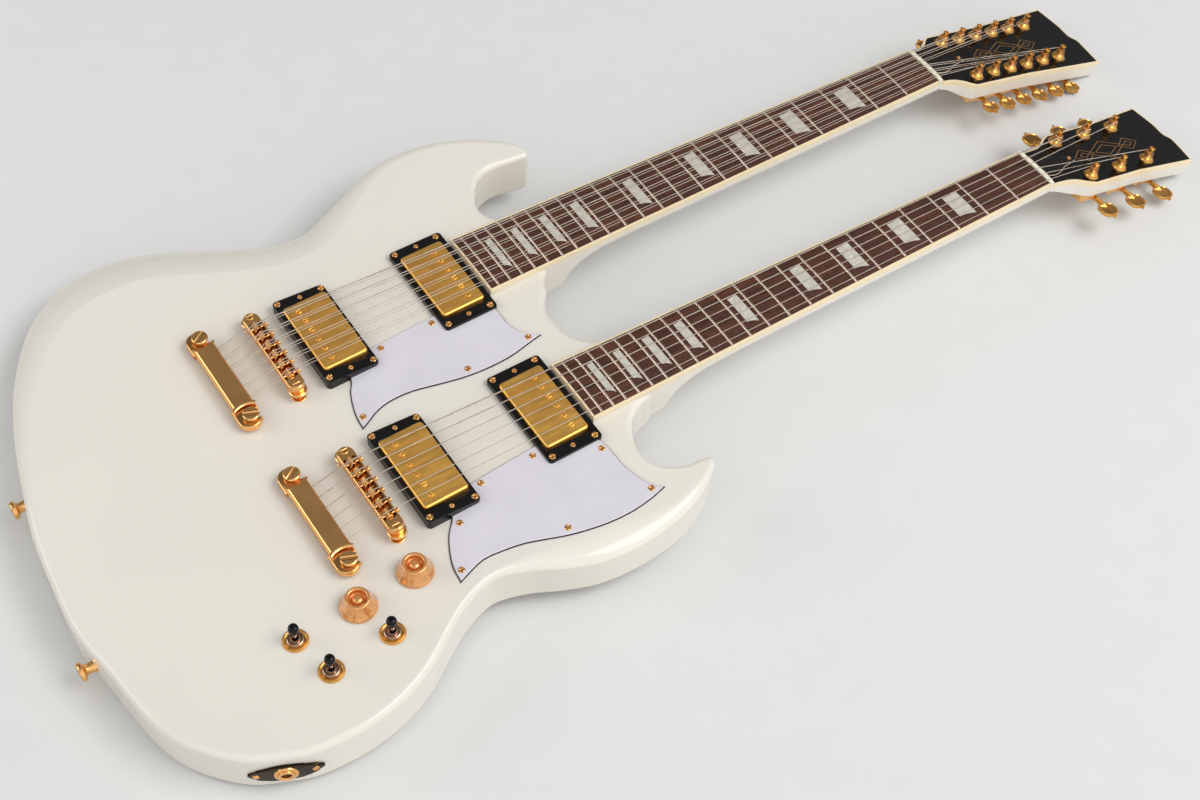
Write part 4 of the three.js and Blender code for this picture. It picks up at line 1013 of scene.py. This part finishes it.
class GUITAR_OT_strings(bpy.types.Operator):
    """Makes the strings, each from the tailpiece to its turns round a post."""
    bl_idname = "guitar.strings"
    bl_label = "Strings"

    def execute(self, context):
        for neck in NECKS:
            plain, wrapped, coils = bmesh.new(), bmesh.new(), bmesh.new()
            pairs = (0.5, -0.5) if neck.paired else (0.0,)
            room = NUT_SPREAD - (NUT_PAIR / 2 if neck.paired else 0)
            rows = [(room * share + half * NUT_PAIR, SADDLE_SPREAD * share + half * SADDLE_PAIR)
                    for share in COURSE_SHARES for half in pairs]
            for k, (nut_y, saddle_y) in enumerate(rows):
                radius = neck.gauges[k]
                hand, side, order = ("l", 1, k) if k < neck.posts else ("r", -1, len(rows) - 1 - k)
                joint = JOINTS[f"turn_post_{neck.tag}_{hand}{order + 1}"]
                path = string_path(neck, nut_y, saddle_y, radius,
                                   neck.head.inverted() @ Vector(joint["pos_m"]), side,
                                   context.scene.guitar_sizes.windings)
                add(wrapped if radius > WOUND_FROM else plain, tube(path[:5], radius, 6))
                add(coils, tube(path[4:], radius, 6))
            # The bar that stands for the ball ends
            add(plain, skin([[(TAILPIECE_X + 2 + x, y, z - BALL_END_DROP) for x, z in (
                (-1.2, -1.2), (1.2, -1.2), (1.2, 1.2), (-1.2, 1.2))] for y in (-26, 26)]))
            piece(f"plain_strings_{neck.tag}", plain, neck.board, ["steel"],
                  replaces=f"strings_{neck.tag}")
            piece(f"wound_strings_{neck.tag}", wrapped, neck.board, ["wound steel"])
            piece(f"string_coils_{neck.tag}", coils, neck.board, ["coil"])
        return {"FINISHED"}


def pickup_ring(level, gap, long):
    """A ring that slopes along the strings, open round its cover."""
    outer = [spot + Vector(((long - RING_LONG) / 5, 0)) for spot in rounded(long, RING_WIDE, 3.2)]
    inner = rounded(COVER_LONG + 2 * gap, COVER_WIDE + 2 * gap, 3.4)
    rings = [[(x, y, level(x) - drop) for x, y in inwards(shape, inset)] for shape, inset, drop in (
        (outer, 0, 0.6), (outer, 0.2, 0.15), (outer, 0.7, 0), (inner, -0.5, 0), (inner, 0, 0.4))]
    # The last ring closes the hole with a black floor at 0.8 mm: painted shade seen in the gap round
    # the cover.
    return skin([[(*spot, SEAT) for spot in outer], *rings, [(*spot, 0.8) for spot in inner]])


def pickup_screws(pole, top, level):
    """Six slotted poles, and the height and corner screws of the ring."""
    bm = bmesh.new()
    for share in COURSE_SHARES:
        add(bm, painted(screw(2.3, 0.7, 1, 0.16, 0.6, random.uniform(0, math.pi))),
            at(pole, POLE_SPREAD * share, top))
    for x, y, size in ((-18.3, 40.5, 2.5), (0, 39.6, 1.9), (18.3, 40.5, 2.5)):
        for side in (-1, 1):
            add(bm, screw(size, 0.9, 2, 0.14, 0.5, random.uniform(0, math.pi)),
                at(x, side * y, level(x)))
    return bm


class GUITAR_OT_pickups(bpy.types.Operator):
    """Makes the pickups: black rings, satin gold covers, pole and mounting screws."""
    bl_idname = "guitar.pickups"
    bl_label = "Pickups"

    def execute(self, context):
        gap = context.scene.guitar_sizes.ring_wall / MM
        for neck in NECKS:
            for end, x, long, tall, low, top, pole in (
                    ("neck", NECK_PICKUP_X, RING_LONG + 2.6, 4.8, 4.2, 7.6, 8),
                    ("bridge", BRIDGE_PICKUP_X, RING_LONG, 9.5, 5.6, 11, -8)):
                spot = neck.top @ at(on_body(x))
                tag = f"{neck.tag}_{end}"

                def level(along):
                    return (tall + low) / 2 - along * (tall - low) / RING_LONG

                piece(f"pickup_ring_{tag}", pickup_ring(level, gap, long), spot,
                      ["black plastic"])
                cover = plate(rounded(COVER_LONG, COVER_WIDE, 3), [
                    (0, -6), (0, top - 1.8), (0.15, top - 1.1), (0.55, top - 0.5),
                    (1.2, top - 0.12), (1.9, top)])
                piece(f"pickup_cover_{tag}", cover, spot, ["satin gold"],
                      replaces=f"pickup_{tag}")
                random.seed(tag)
                piece(f"pickup_screws_{tag}", pickup_screws(pole, top, level), spot,
                      ["gold", "satin gold"])
        return {"FINISHED"}


def bridge_bar():
    """The bar with its open well."""
    bm = opened(plate(rounded(13, 82, 6.45, 10), [
        (0.4, 8.6), (0, 9), (0, 13.2), (0.35, 14.1), (1.1, 14.6)]))
    # The well's walls and floor take the second, darker gold: painted shade.
    add(bm, opened(painted(plate(rounded(9.8, 60, 1.2), [(0, 14.6), (0, 11.4)]))))
    rims = [edge for edge in bm.edges if edge.is_boundary]
    bmesh.ops.triangle_fill(bm, use_beauty=True, use_dissolve=False, edges=rims)
    bmesh.ops.recalc_face_normals(bm, faces=bm.faces)
    return bm


def saddle(apex):
    """A saddle with a notched ridge, on the long screw that sets its place."""
    block = skin([[(-3.4, y, 11.6), (3.6, y, 11.6), (3.6, y, 13.6), (1.1, y * 0.86, apex),
                   (-0.5, y * 0.86, apex), (-3.4, y, 13.8)] for y in (-4.2, 4.2)])
    return gathered(soften(block, 0.35), tube([(-4.8, 0, 13.3), (6.6, 0, 13.3)], 1.05, 10),
                    (screw(1.9, 1.1, 1, 0.22, 0.5), at(7.2, 0, 13.3) @ turned(QUARTER, "Y")))


def bridge_stud():
    """A stud with its cup, knurled thumbwheel and slotted head."""
    wheel = [spot * (1 + 0.025 * (k % 2)) for k, spot in enumerate(disc(6.8))]
    return gathered(lathe([(0, -9), (2.9, -9), (3, 6.5), (3, 10), (0, 10)], 24),
                    plate(wheel, [(0.5, 6.2), (0, 6.6), (0, 8.1), (0.5, 8.5)]),
                    lathe([(3.1, 0), (5.6, 0), (5.6, 0.6), (5, 1), (3.1, 1), (3.1, 0)], 32),
                    (screw(3.2, 0.7, 1, 0.18, 0.8), at(0, 0, 14.5)))


class GUITAR_OT_bridges(bpy.types.Operator):
    """Makes the bridges: bar, saddles with their screws, studs and thumbwheels."""
    bl_idname = "guitar.bridges"
    bl_label = "Bridges"

    def execute(self, context):
        x, _, z = to_body(SADDLE_X, 0, SADDLE_LEVEL)
        places = [SADDLE_SPREAD * share for share in COURSE_SHARES]
        for neck in NECKS:
            bm = gathered(bridge_bar(), *[(saddle(z + camber(y) - 0.35), at(0, y)) for y in places],
                          *[(bridge_stud(), at(0, y)) for y in (-BRIDGE_STUD, BRIDGE_STUD)])
            piece(f"bridge_{neck.tag}_bar", bm, neck.top @ at(x), ["gold", "gold with painted shade and dark reflection"],
                  replaces=f"bridge_{neck.tag}")
        return {"FINISHED"}


def tail_middle():
    """The raised bar between the studs, its ends hollowed round the stud heads."""
    bite, widen = disc(8.3, 12, -QUARTER - 0.9, 1.8), 8.5 / 6.5
    outline = [(-spot.x * side * widen - 0.4, side * (TAIL_STUD + spot.y))
               for side in (1, -1) for spot in bite]
    return plate(outline, [(2.4, 2.7), (0.9, 3.6), (0.1, 5.6), (0, 8.2), (0.2, 9.8), (0.6, 10.9),
                           (1.2, 11.6), (2.0, 12.05), (3.2, 12.3)])


def tail_hook():
    """A hooked end, open towards the strings, that reaches out behind its stud."""
    outline = [(-10.2, 30), (8.1, 30), (8.1, 36.6),
               *[(x, TAIL_STUD + y) for x, y in reversed(disc(4.4, 12, QUARTER, math.pi))],
               (8.0, 45.4),
               *[(x * 1.04 - 1.1, TAIL_STUD + 0.4 + y) for x, y in disc(8.75, 20, 0.5, math.pi - 0.5)]]
    # The hook's flat top takes the second, darker gold: a painted dark reflection.
    return painted(plate(outline, [(1.6, 2.6), (0.4, 3.4), (0, 4.8), (0, 7.4), (0.4, 8.3), (1.2, 8.8)]),
                   lambda spot: spot.z > 8.7)


def tail_stud(turn):
    """A stud with its collar, flange and wide slotted head."""
    collar = lathe([(3.9, 0), (6.2, 0), (6.2, 0.5), (5.6, 1.1), (5.2, 1.1), (5.2, 2.2), (3.9, 2.2),
                    (3.9, 0)], 32)
    flange = lathe([(3.8, 8.9), (5.6, 8.9), (5.7, 9.6), (5.4, 10.2), (3.8, 10.2), (3.8, 8.9)], 32)
    # The flange under the head takes the second, darker gold: painted shade.
    return gathered(lathe([(0, -9), (3.9, -9), (3.9, 10), (0, 10)], 24), collar, painted(flange),
                    (screw(6.3, 1.9, 1, 0.11, 0.55, turn), at(0, 0, 11.1)))


class GUITAR_OT_tailpieces(bpy.types.Operator):
    """Makes the tailpieces: raised bar, hooked ends and slotted studs."""
    bl_idname = "guitar.tailpieces"
    bl_label = "Tailpieces"

    def execute(self, context):
        for neck in NECKS:
            parts = [tail_middle()]
            for side, turn in ((-1, -0.4), (1, 0.6)):
                parts.append((tail_hook(), Matrix.Diagonal((1, side, 1, 1))))
                parts.append((tail_stud(turn), at(0.5, side * TAIL_STUD)))
            bm = gathered(*parts)
            bmesh.ops.recalc_face_normals(bm, faces=bm.faces)
            piece(f"tailpiece_{neck.tag}_bar", bm, neck.top @ at(on_body(TAILPIECE_X)),
                  ["gold", "gold with painted shade and dark reflection"], replaces=f"tailpiece_{neck.tag}")
        return {"FINISHED"}


def eased(points, clear=5.5):
    """Curves between the points, with the pointed corners kept and clear of other points."""
    count = len(points)
    spots = [Vector(point) for point in points]
    sides = [(spots[(k + 1) % count] - spots[k]).normalized() for k in range(count)]
    sharp = [k for k in range(count) if sides[k - 1].dot(sides[k]) < 0.6]
    drawn = []
    for start, end in zip(sharp, sharp[1:] + [sharp[0] + count]):
        run = [spots[k % count] for k in range(start, end + 1)]
        curve = spline(run) if len(run) > 2 else run
        drawn += [spot for spot in curve[:-1] if spot == curve[0] or min(
            (spot - curve[0]).length, (spot - curve[-1]).length) > clear]
    return drawn


class GUITAR_OT_pickguards(bpy.types.Operator):
    """Makes the three-ply pickguards and their screws."""
    bl_idname = "guitar.pickguards"
    bl_label = "Pickguards"

    def execute(self, context):
        sizes = context.scene.guitar_sizes
        ply = sizes.guard_ply / MM
        span = NECK_PICKUP_X - BRIDGE_PICKUP_X
        levels = [(inset, SEAT + plies * ply) for inset, plies in (
            (0, 0), (0, 0.6), (0.1, 0.8), (0.85, 2.1), (1.3, 3), (1.8, 3))]
        for neck in NECKS:
            outline = eased([(on_body(NECK_PICKUP_X) + along * span, -down * neck.guard_reach)
                             for along, down in neck.guard_shares])
            piece(f"guard_{neck.tag}", plate(outline, levels, [0, 0, 0, 1, 0, 0, 0]), neck.top,
                  ["guard white", "guard black"], replaces=f"pickguard_{neck.tag}")
            screws = bmesh.new()
            random.seed(neck.tag)
            for x, y in neck.guard_screws:
                add(screws, screw(sizes.screw_radius / MM, 0.8, 2, 0.14, 0.5,
                                  random.uniform(0, math.pi)),
                    at(on_body(x), y, levels[-1][1] - 0.1))
            piece(f"guard_screws_{neck.tag}", screws, neck.top, ["gold"])
        return {"FINISHED"}


def knob():
    """A hat-shaped knob with a hollow in its top."""
    # The hollow's faces take the second, darker amber: painted shade.
    return painted(lathe([
        (0, -6.8), (2.9, -6.8), (2.9, 0.5), (12.9, 0.5), (13.35, 0.8), (13.5, 1.4), (13.3, 2.2),
        (12.5, 3.2), (11.3, 5.2), (10.2, 7.6), (9.4, 10.2), (9.1, 11.4), (8.8, 12.1), (8.3, 12.5),
        (7.7, 12.6), (7.0, 12.5), (6.4, 12.0), (6.1, 11.2), (5.9, 9.8), (5.5, 9.2), (4.9, 9.0),
        (4.4, 9.2), (4.0, 9.7), (3.5, 10.5), (2.8, 11.1), (1.8, 11.5), (0.9, 11.7), (0, 11.7)], 64),
        lambda spot: spot.z > 8 and 3.4 < spot.xy.length < 6.3)


def switch_collar():
    """A toothed washer, a dish, a nut and the sleeve that a lever stands in."""
    teeth = [spot * (1 + 0.03 * (k % 2)) for k, spot in enumerate(disc(8.9, 120))]
    dish = lathe([(0, 1.1), (8.5, 1.1), (8.3, 1.75), (7.7, 1.95), (6.9, 1.6), (6.0, 1.3), (0, 1.3)])
    ring = lathe([(3.4, 1.2), (5.8, 1.2), (5.9, 1.6), (5.9, 2.9), (5.5, 3.3), (4.9, 3.4), (4.5, 3.0),
                  (4.2, 2.6), (3.4, 2.6), (3.4, 1.2)])
    sleeve = lathe([(2.5, 1.2), (3.6, 1.2), (3.6, 4.6), (3.3, 5.0), (2.8, 5.1), (2.5, 4.7),
                    (2.5, 1.2)], 32)
    return gathered(plate(teeth, [(0.3, 0), (0, 0.2), (0, 0.9), (0.35, 1.2)]), dish,
                    painted(ring), painted(sleeve))


def switch_bat():
    """A lever with a black tip, drawn from its pivot."""
    bat = lathe([(0, -1.35), (1.1, -1.3), (1.9, -0.8), (2.15, 0), (2.0, 0.8), (1.65, 1.7), (1.6, 4),
                 (1.85, 7), (2.15, 9.0), (2.15, 10), (0, 10)], 24)
    tip = lathe([(0, 9.2), (2.6, 9.2), (3.4, 9.6), (3.75, 10.6), (3.75, 13.6), (3.4, 15.2),
                 (2.5, 16.2), (1.2, 16.6), (0, 16.6)], 32)
    return gathered(bat, painted(tip))


class GUITAR_OT_controls(bpy.types.Operator):
    """Makes the knobs and the small toggle switches."""
    bl_idname = "guitar.controls"
    bl_label = "Knobs and switches"

    def execute(self, context):
        to_top = BODY.inverted()
        for k in (1, 2):
            x, y, _ = to_top @ Vector(JOINTS[f"turn_knob_{k}"]["pos_m"])
            piece(f"knob_cap_{k}", knob(), BODY @ at(x, y), ["amber", "amber with painted shade"],
                  f"knob_{k}", f"knob_{k}", flat=False)
        for k in (1, 2, 3):
            x, y, z = to_top @ Vector(JOINTS[f"tilt_switch_lever_{k}"]["pos_m"])
            piece(f"switch_collar_{k}", switch_collar(), BODY @ at(x, y), ["brass", "warm chrome"])
            piece(f"switch_bat_{k}", switch_bat(), BODY @ at(x, y, z), ["chrome", "black lacquer"],
                  f"switch_lever_{k}", f"switch_lever_{k}", flat=False)
        return {"FINISHED"}


def on_wall(spot, ahead, lift=0.0):
    """A frame on the body's wall, at half its height, with its Z pointing out of it."""
    z = Vector((-ahead.y, ahead.x, 0))
    up = Vector((0, 0, 1))
    turn = Matrix((up.cross(z), up, z)).transposed().to_4x4()
    return at(spot.x + z.x * lift, spot.y + z.y * lift, -BODY_THICK / 2) @ turn


class GUITAR_OT_jack(bpy.types.Operator):
    """Makes the curved jack plate with its screws and socket."""
    bl_idname = "guitar.jack"
    bl_label = "Jack plate"

    def execute(self, context):
        spots = body_outline(12)
        centre = BODY.inverted() @ Vector(MOUNTS["jack_face"]["pos_m"])
        count = len(spots)
        nearest = min(range(count), key=lambda k: (spots[k][0].xy - centre.xy).length)
        half, rise, thick = 23.6, 10.0, 1.6
        rings, parts = [], []
        for step in range(-16, 17):
            away = step / 16
            k, gone = nearest, 0.0
            while gone < abs(away) * half:
                n = (k + (1 if away > 0 else -1)) % count
                gone += (spots[n][0].xy - spots[k][0].xy).length
                k = n
            spot, ahead = spots[k]
            out = Vector((-ahead.y, ahead.x))
            tall = 0.6 + (rise - 0.6) * (1 - away ** 2) ** 0.8
            rings.append([(*(spot.xy + out * (SEAT + thick * share)), side * tall - BODY_THICK / 2)
                          for share, side in ((0, -1), (0.6, -1), (1, -0.9), (1, 0.9), (0.6, 1),
                                              (0, 1))])
            if abs(step) == 12:
                parts.append((painted(screw(2.4, 0.8, 2, 0.14, 0.5, 0.4)),
                              on_wall(spot, ahead, SEAT + thick - 0.2)))
        socket = lathe([(3.2, -5.8), (5.9, -5.8), (5.9, 3.6), (5.6, 4.2), (5, 4.5), (4.0, 4.3),
                        (3.4, 3.6), (3.2, -5.8)], 32)
        ring = lathe([(5.8, 1.6), (8.2, 1.6), (8.2, 2.4), (7.7, 3.1), (6.9, 3.4), (6.2, 3.4),
                      (5.8, 3.1), (5.8, 1.6)], 40)
        middle = on_wall(*spots[nearest])
        bm = gathered(skin(rings), *parts, (painted(socket), middle), (painted(ring), middle))
        # The plate is near-black gold as a painted dark reflection; its screws, socket and ring keep
        # plain gold.
        piece("jack_cup", bm, BODY, ["gold with painted black reflection", "gold"], replaces="jack_plate")
        well = lathe([(0, -5.6), (3.15, -5.6), (3.15, -5.2), (0, -5.2)], 24)
        piece("jack_well", well, BODY @ middle, ["black plastic"])
        return {"FINISHED"}


class GUITAR_OT_strap_buttons(bpy.types.Operator):
    """Makes the two strap buttons on the tail."""
    bl_idname = "guitar.strap_buttons"
    bl_label = "Strap buttons"

    def execute(self, context):
        reach = 11.5
        for tag in ("12", "6"):
            end = BODY.inverted() @ Vector(MOUNTS[f"strap_end_{tag}"]["pos_m"])
            bm = lathe([(0, -2), (4.4, -2), (4.6, 0.6), (4, 2), (3.6, 4.5), (4.2, 6.6), (6.4, 7.9),
                        (7, 8.6), (7, 10), (6.5, 11), (5.2, reach), (0, reach)], 40)
            add(bm, screw(2.9, 0.5, 2, 0.14, 0.8, 0.3), at(0, 0, reach - 0.4))
            piece(f"strap_button_{tag}", bm,
                  BODY @ at(end.x + reach, end.y, end.z) @ turned(-QUARTER, "Y"), ["gold"])
        return {"FINISHED"}


class GUITAR_OT_back_cover(bpy.types.Operator):
    """Makes the control cover on the back."""
    bl_idname = "guitar.back_cover"
    bl_label = "Back cover"

    def execute(self, context):
        outline = spline([(along * TAIL_REACH, -down * LOWER_WING)
                          for along, down in BACK_COVER_SHARES], 6, True)
        back = -BODY_THICK - BACK_COVER_RISE
        bm = plate(outline, [(0, back + 2), (0, back + 0.3), (0.3, back + 0.05), (1, back)])
        piece("back_plate", bm, BODY, ["black plastic"], replaces="back_cover")
        screws = bmesh.new()
        inner = inwards(outline, 6)
        for k in range(0, len(inner), 9):
            add(screws, screw(2.2, 0.5, 2, 0.14, 0.6, k), at(*inner[k], back) @ turned(math.pi, "X"))
        piece("back_plate_screws", screws, BODY, ["gold"])
        return {"FINISHED"}


class GUITAR_OT_stage(bpy.types.Operator):
    """Sets the floor, the soft studio light and the camera."""
    bl_idname = "guitar.stage"
    bl_label = "Stage"

    def execute(self, context):
        scene = context.scene

        def shown(name, data):
            """An object of the scene."""
            made = bpy.data.objects.new(name, data)
            scene.collection.objects.link(made)
            return made

        plastic("floor", scene.guitar_colours.floor, 0.9, 0.0, 0.0001, 0.004, 1.05)
        bm = bmesh.new()
        bmesh.ops.create_grid(bm, x_segments=1, y_segments=1, size=30)
        mesh = bpy.data.meshes.new("floor")
        bm.to_mesh(mesh)
        bm.free()
        mesh.materials.append(LOOKS["floor"])
        floor = shown("floor", mesh)
        floor.location.z = -0.0002

        for name, spot, size, power in (("key", (0.8, -1.15, 2.15), (1.6, 1.2), 32),
                                        ("fill", (-1.8, 0.9, 1.0), (1.4, 1.0), 11)):
            lamp = bpy.data.lights.new(name, "AREA")
            lamp.shape = "RECTANGLE"
            lamp.size, lamp.size_y = size
            lamp.energy = power
            softbox = shown(name, lamp)
            softbox.location = spot
            softbox.rotation_euler = (-Vector(spot)).to_track_quat("-Z", "Y").to_euler()

        scene.world = bpy.data.worlds.new("studio")
        scene.world.use_nodes = True
        tree = scene.world.node_tree
        tree.nodes.clear()
        # A dim side beyond the guitar and a bright one before it, as softboxes leave a room
        ray = node(tree, "ShaderNodeTexCoord", {}).outputs["Generated"]
        across = node(tree, "ShaderNodeSeparateXYZ", {"Vector": ray}).outputs["Y"]
        level = node(tree, "ShaderNodeMapRange", {
            "Value": across, "From Min": -0.7, "From Max": 0.5, "To Min": 1.05, "To Max": 0.28},
            interpolation_type="SMOOTHSTEP").outputs["Result"]
        sky = node(tree, "ShaderNodeBackground", {"Color": (0.97, 0.98, 1.0, 1), "Strength": level})
        node(tree, "ShaderNodeOutputWorld", {"Surface": sky.outputs[0]})

        view = bpy.data.cameras.new("camera")
        view.lens = scene.guitar_sizes.camera_lens
        view.sensor_width = 36
        view.sensor_fit = "HORIZONTAL"
        view.clip_end = 50
        scene.camera = shown("camera", view)
        back = CAMERA_RIGHT.cross(CAMERA_UP)
        turn = Matrix((CAMERA_RIGHT, CAMERA_UP, back)).transposed().to_4x4()
        scene.camera.matrix_world = Matrix.Translation(CAMERA_SPOT) @ turn
        scene.view_settings.view_transform = "Standard"
        return {"FINISHED"}


STEPS = [
    GUITAR_OT_materials, GUITAR_OT_body, GUITAR_OT_necks, GUITAR_OT_heads, GUITAR_OT_fretboards,
    GUITAR_OT_machine_heads, GUITAR_OT_strings, GUITAR_OT_pickups, GUITAR_OT_bridges,
    GUITAR_OT_tailpieces, GUITAR_OT_pickguards, GUITAR_OT_controls, GUITAR_OT_jack,
    GUITAR_OT_strap_buttons, GUITAR_OT_back_cover, GUITAR_OT_stage]


class GUITAR_PT_panel(bpy.types.Panel):
    """Lists the steps, sizes and colours of the guitar."""
    bl_idname = "GUITAR_PT_panel"
    bl_label = "Double-neck guitar"
    bl_space_type = "VIEW_3D"
    bl_region_type = "UI"
    bl_category = "Guitar"

    def draw(self, context):
        for group in (context.scene.guitar_sizes, context.scene.guitar_colours):
            for key in group.bl_rna.properties.keys():
                if key not in ("rna_type", "name"):
                    self.layout.prop(group, key)
        for step in STEPS:
            self.layout.operator(step.bl_idname)


CLASSES = [GuitarSizes, GuitarColours, *STEPS, GUITAR_PT_panel]


def register():
    for kind in CLASSES:
        bpy.utils.register_class(kind)
    bpy.types.Scene.guitar_sizes = PointerProperty(type=GuitarSizes)
    bpy.types.Scene.guitar_colours = PointerProperty(type=GuitarColours)


def unregister():
    del bpy.types.Scene.guitar_colours
    del bpy.types.Scene.guitar_sizes
    for kind in reversed(CLASSES):
        bpy.utils.unregister_class(kind)


def main():
    register()
    for step in STEPS:
        group, name = step.bl_idname.split(".")
        getattr(getattr(bpy.ops, group), name)()


if __name__ == "__main__":
    main()
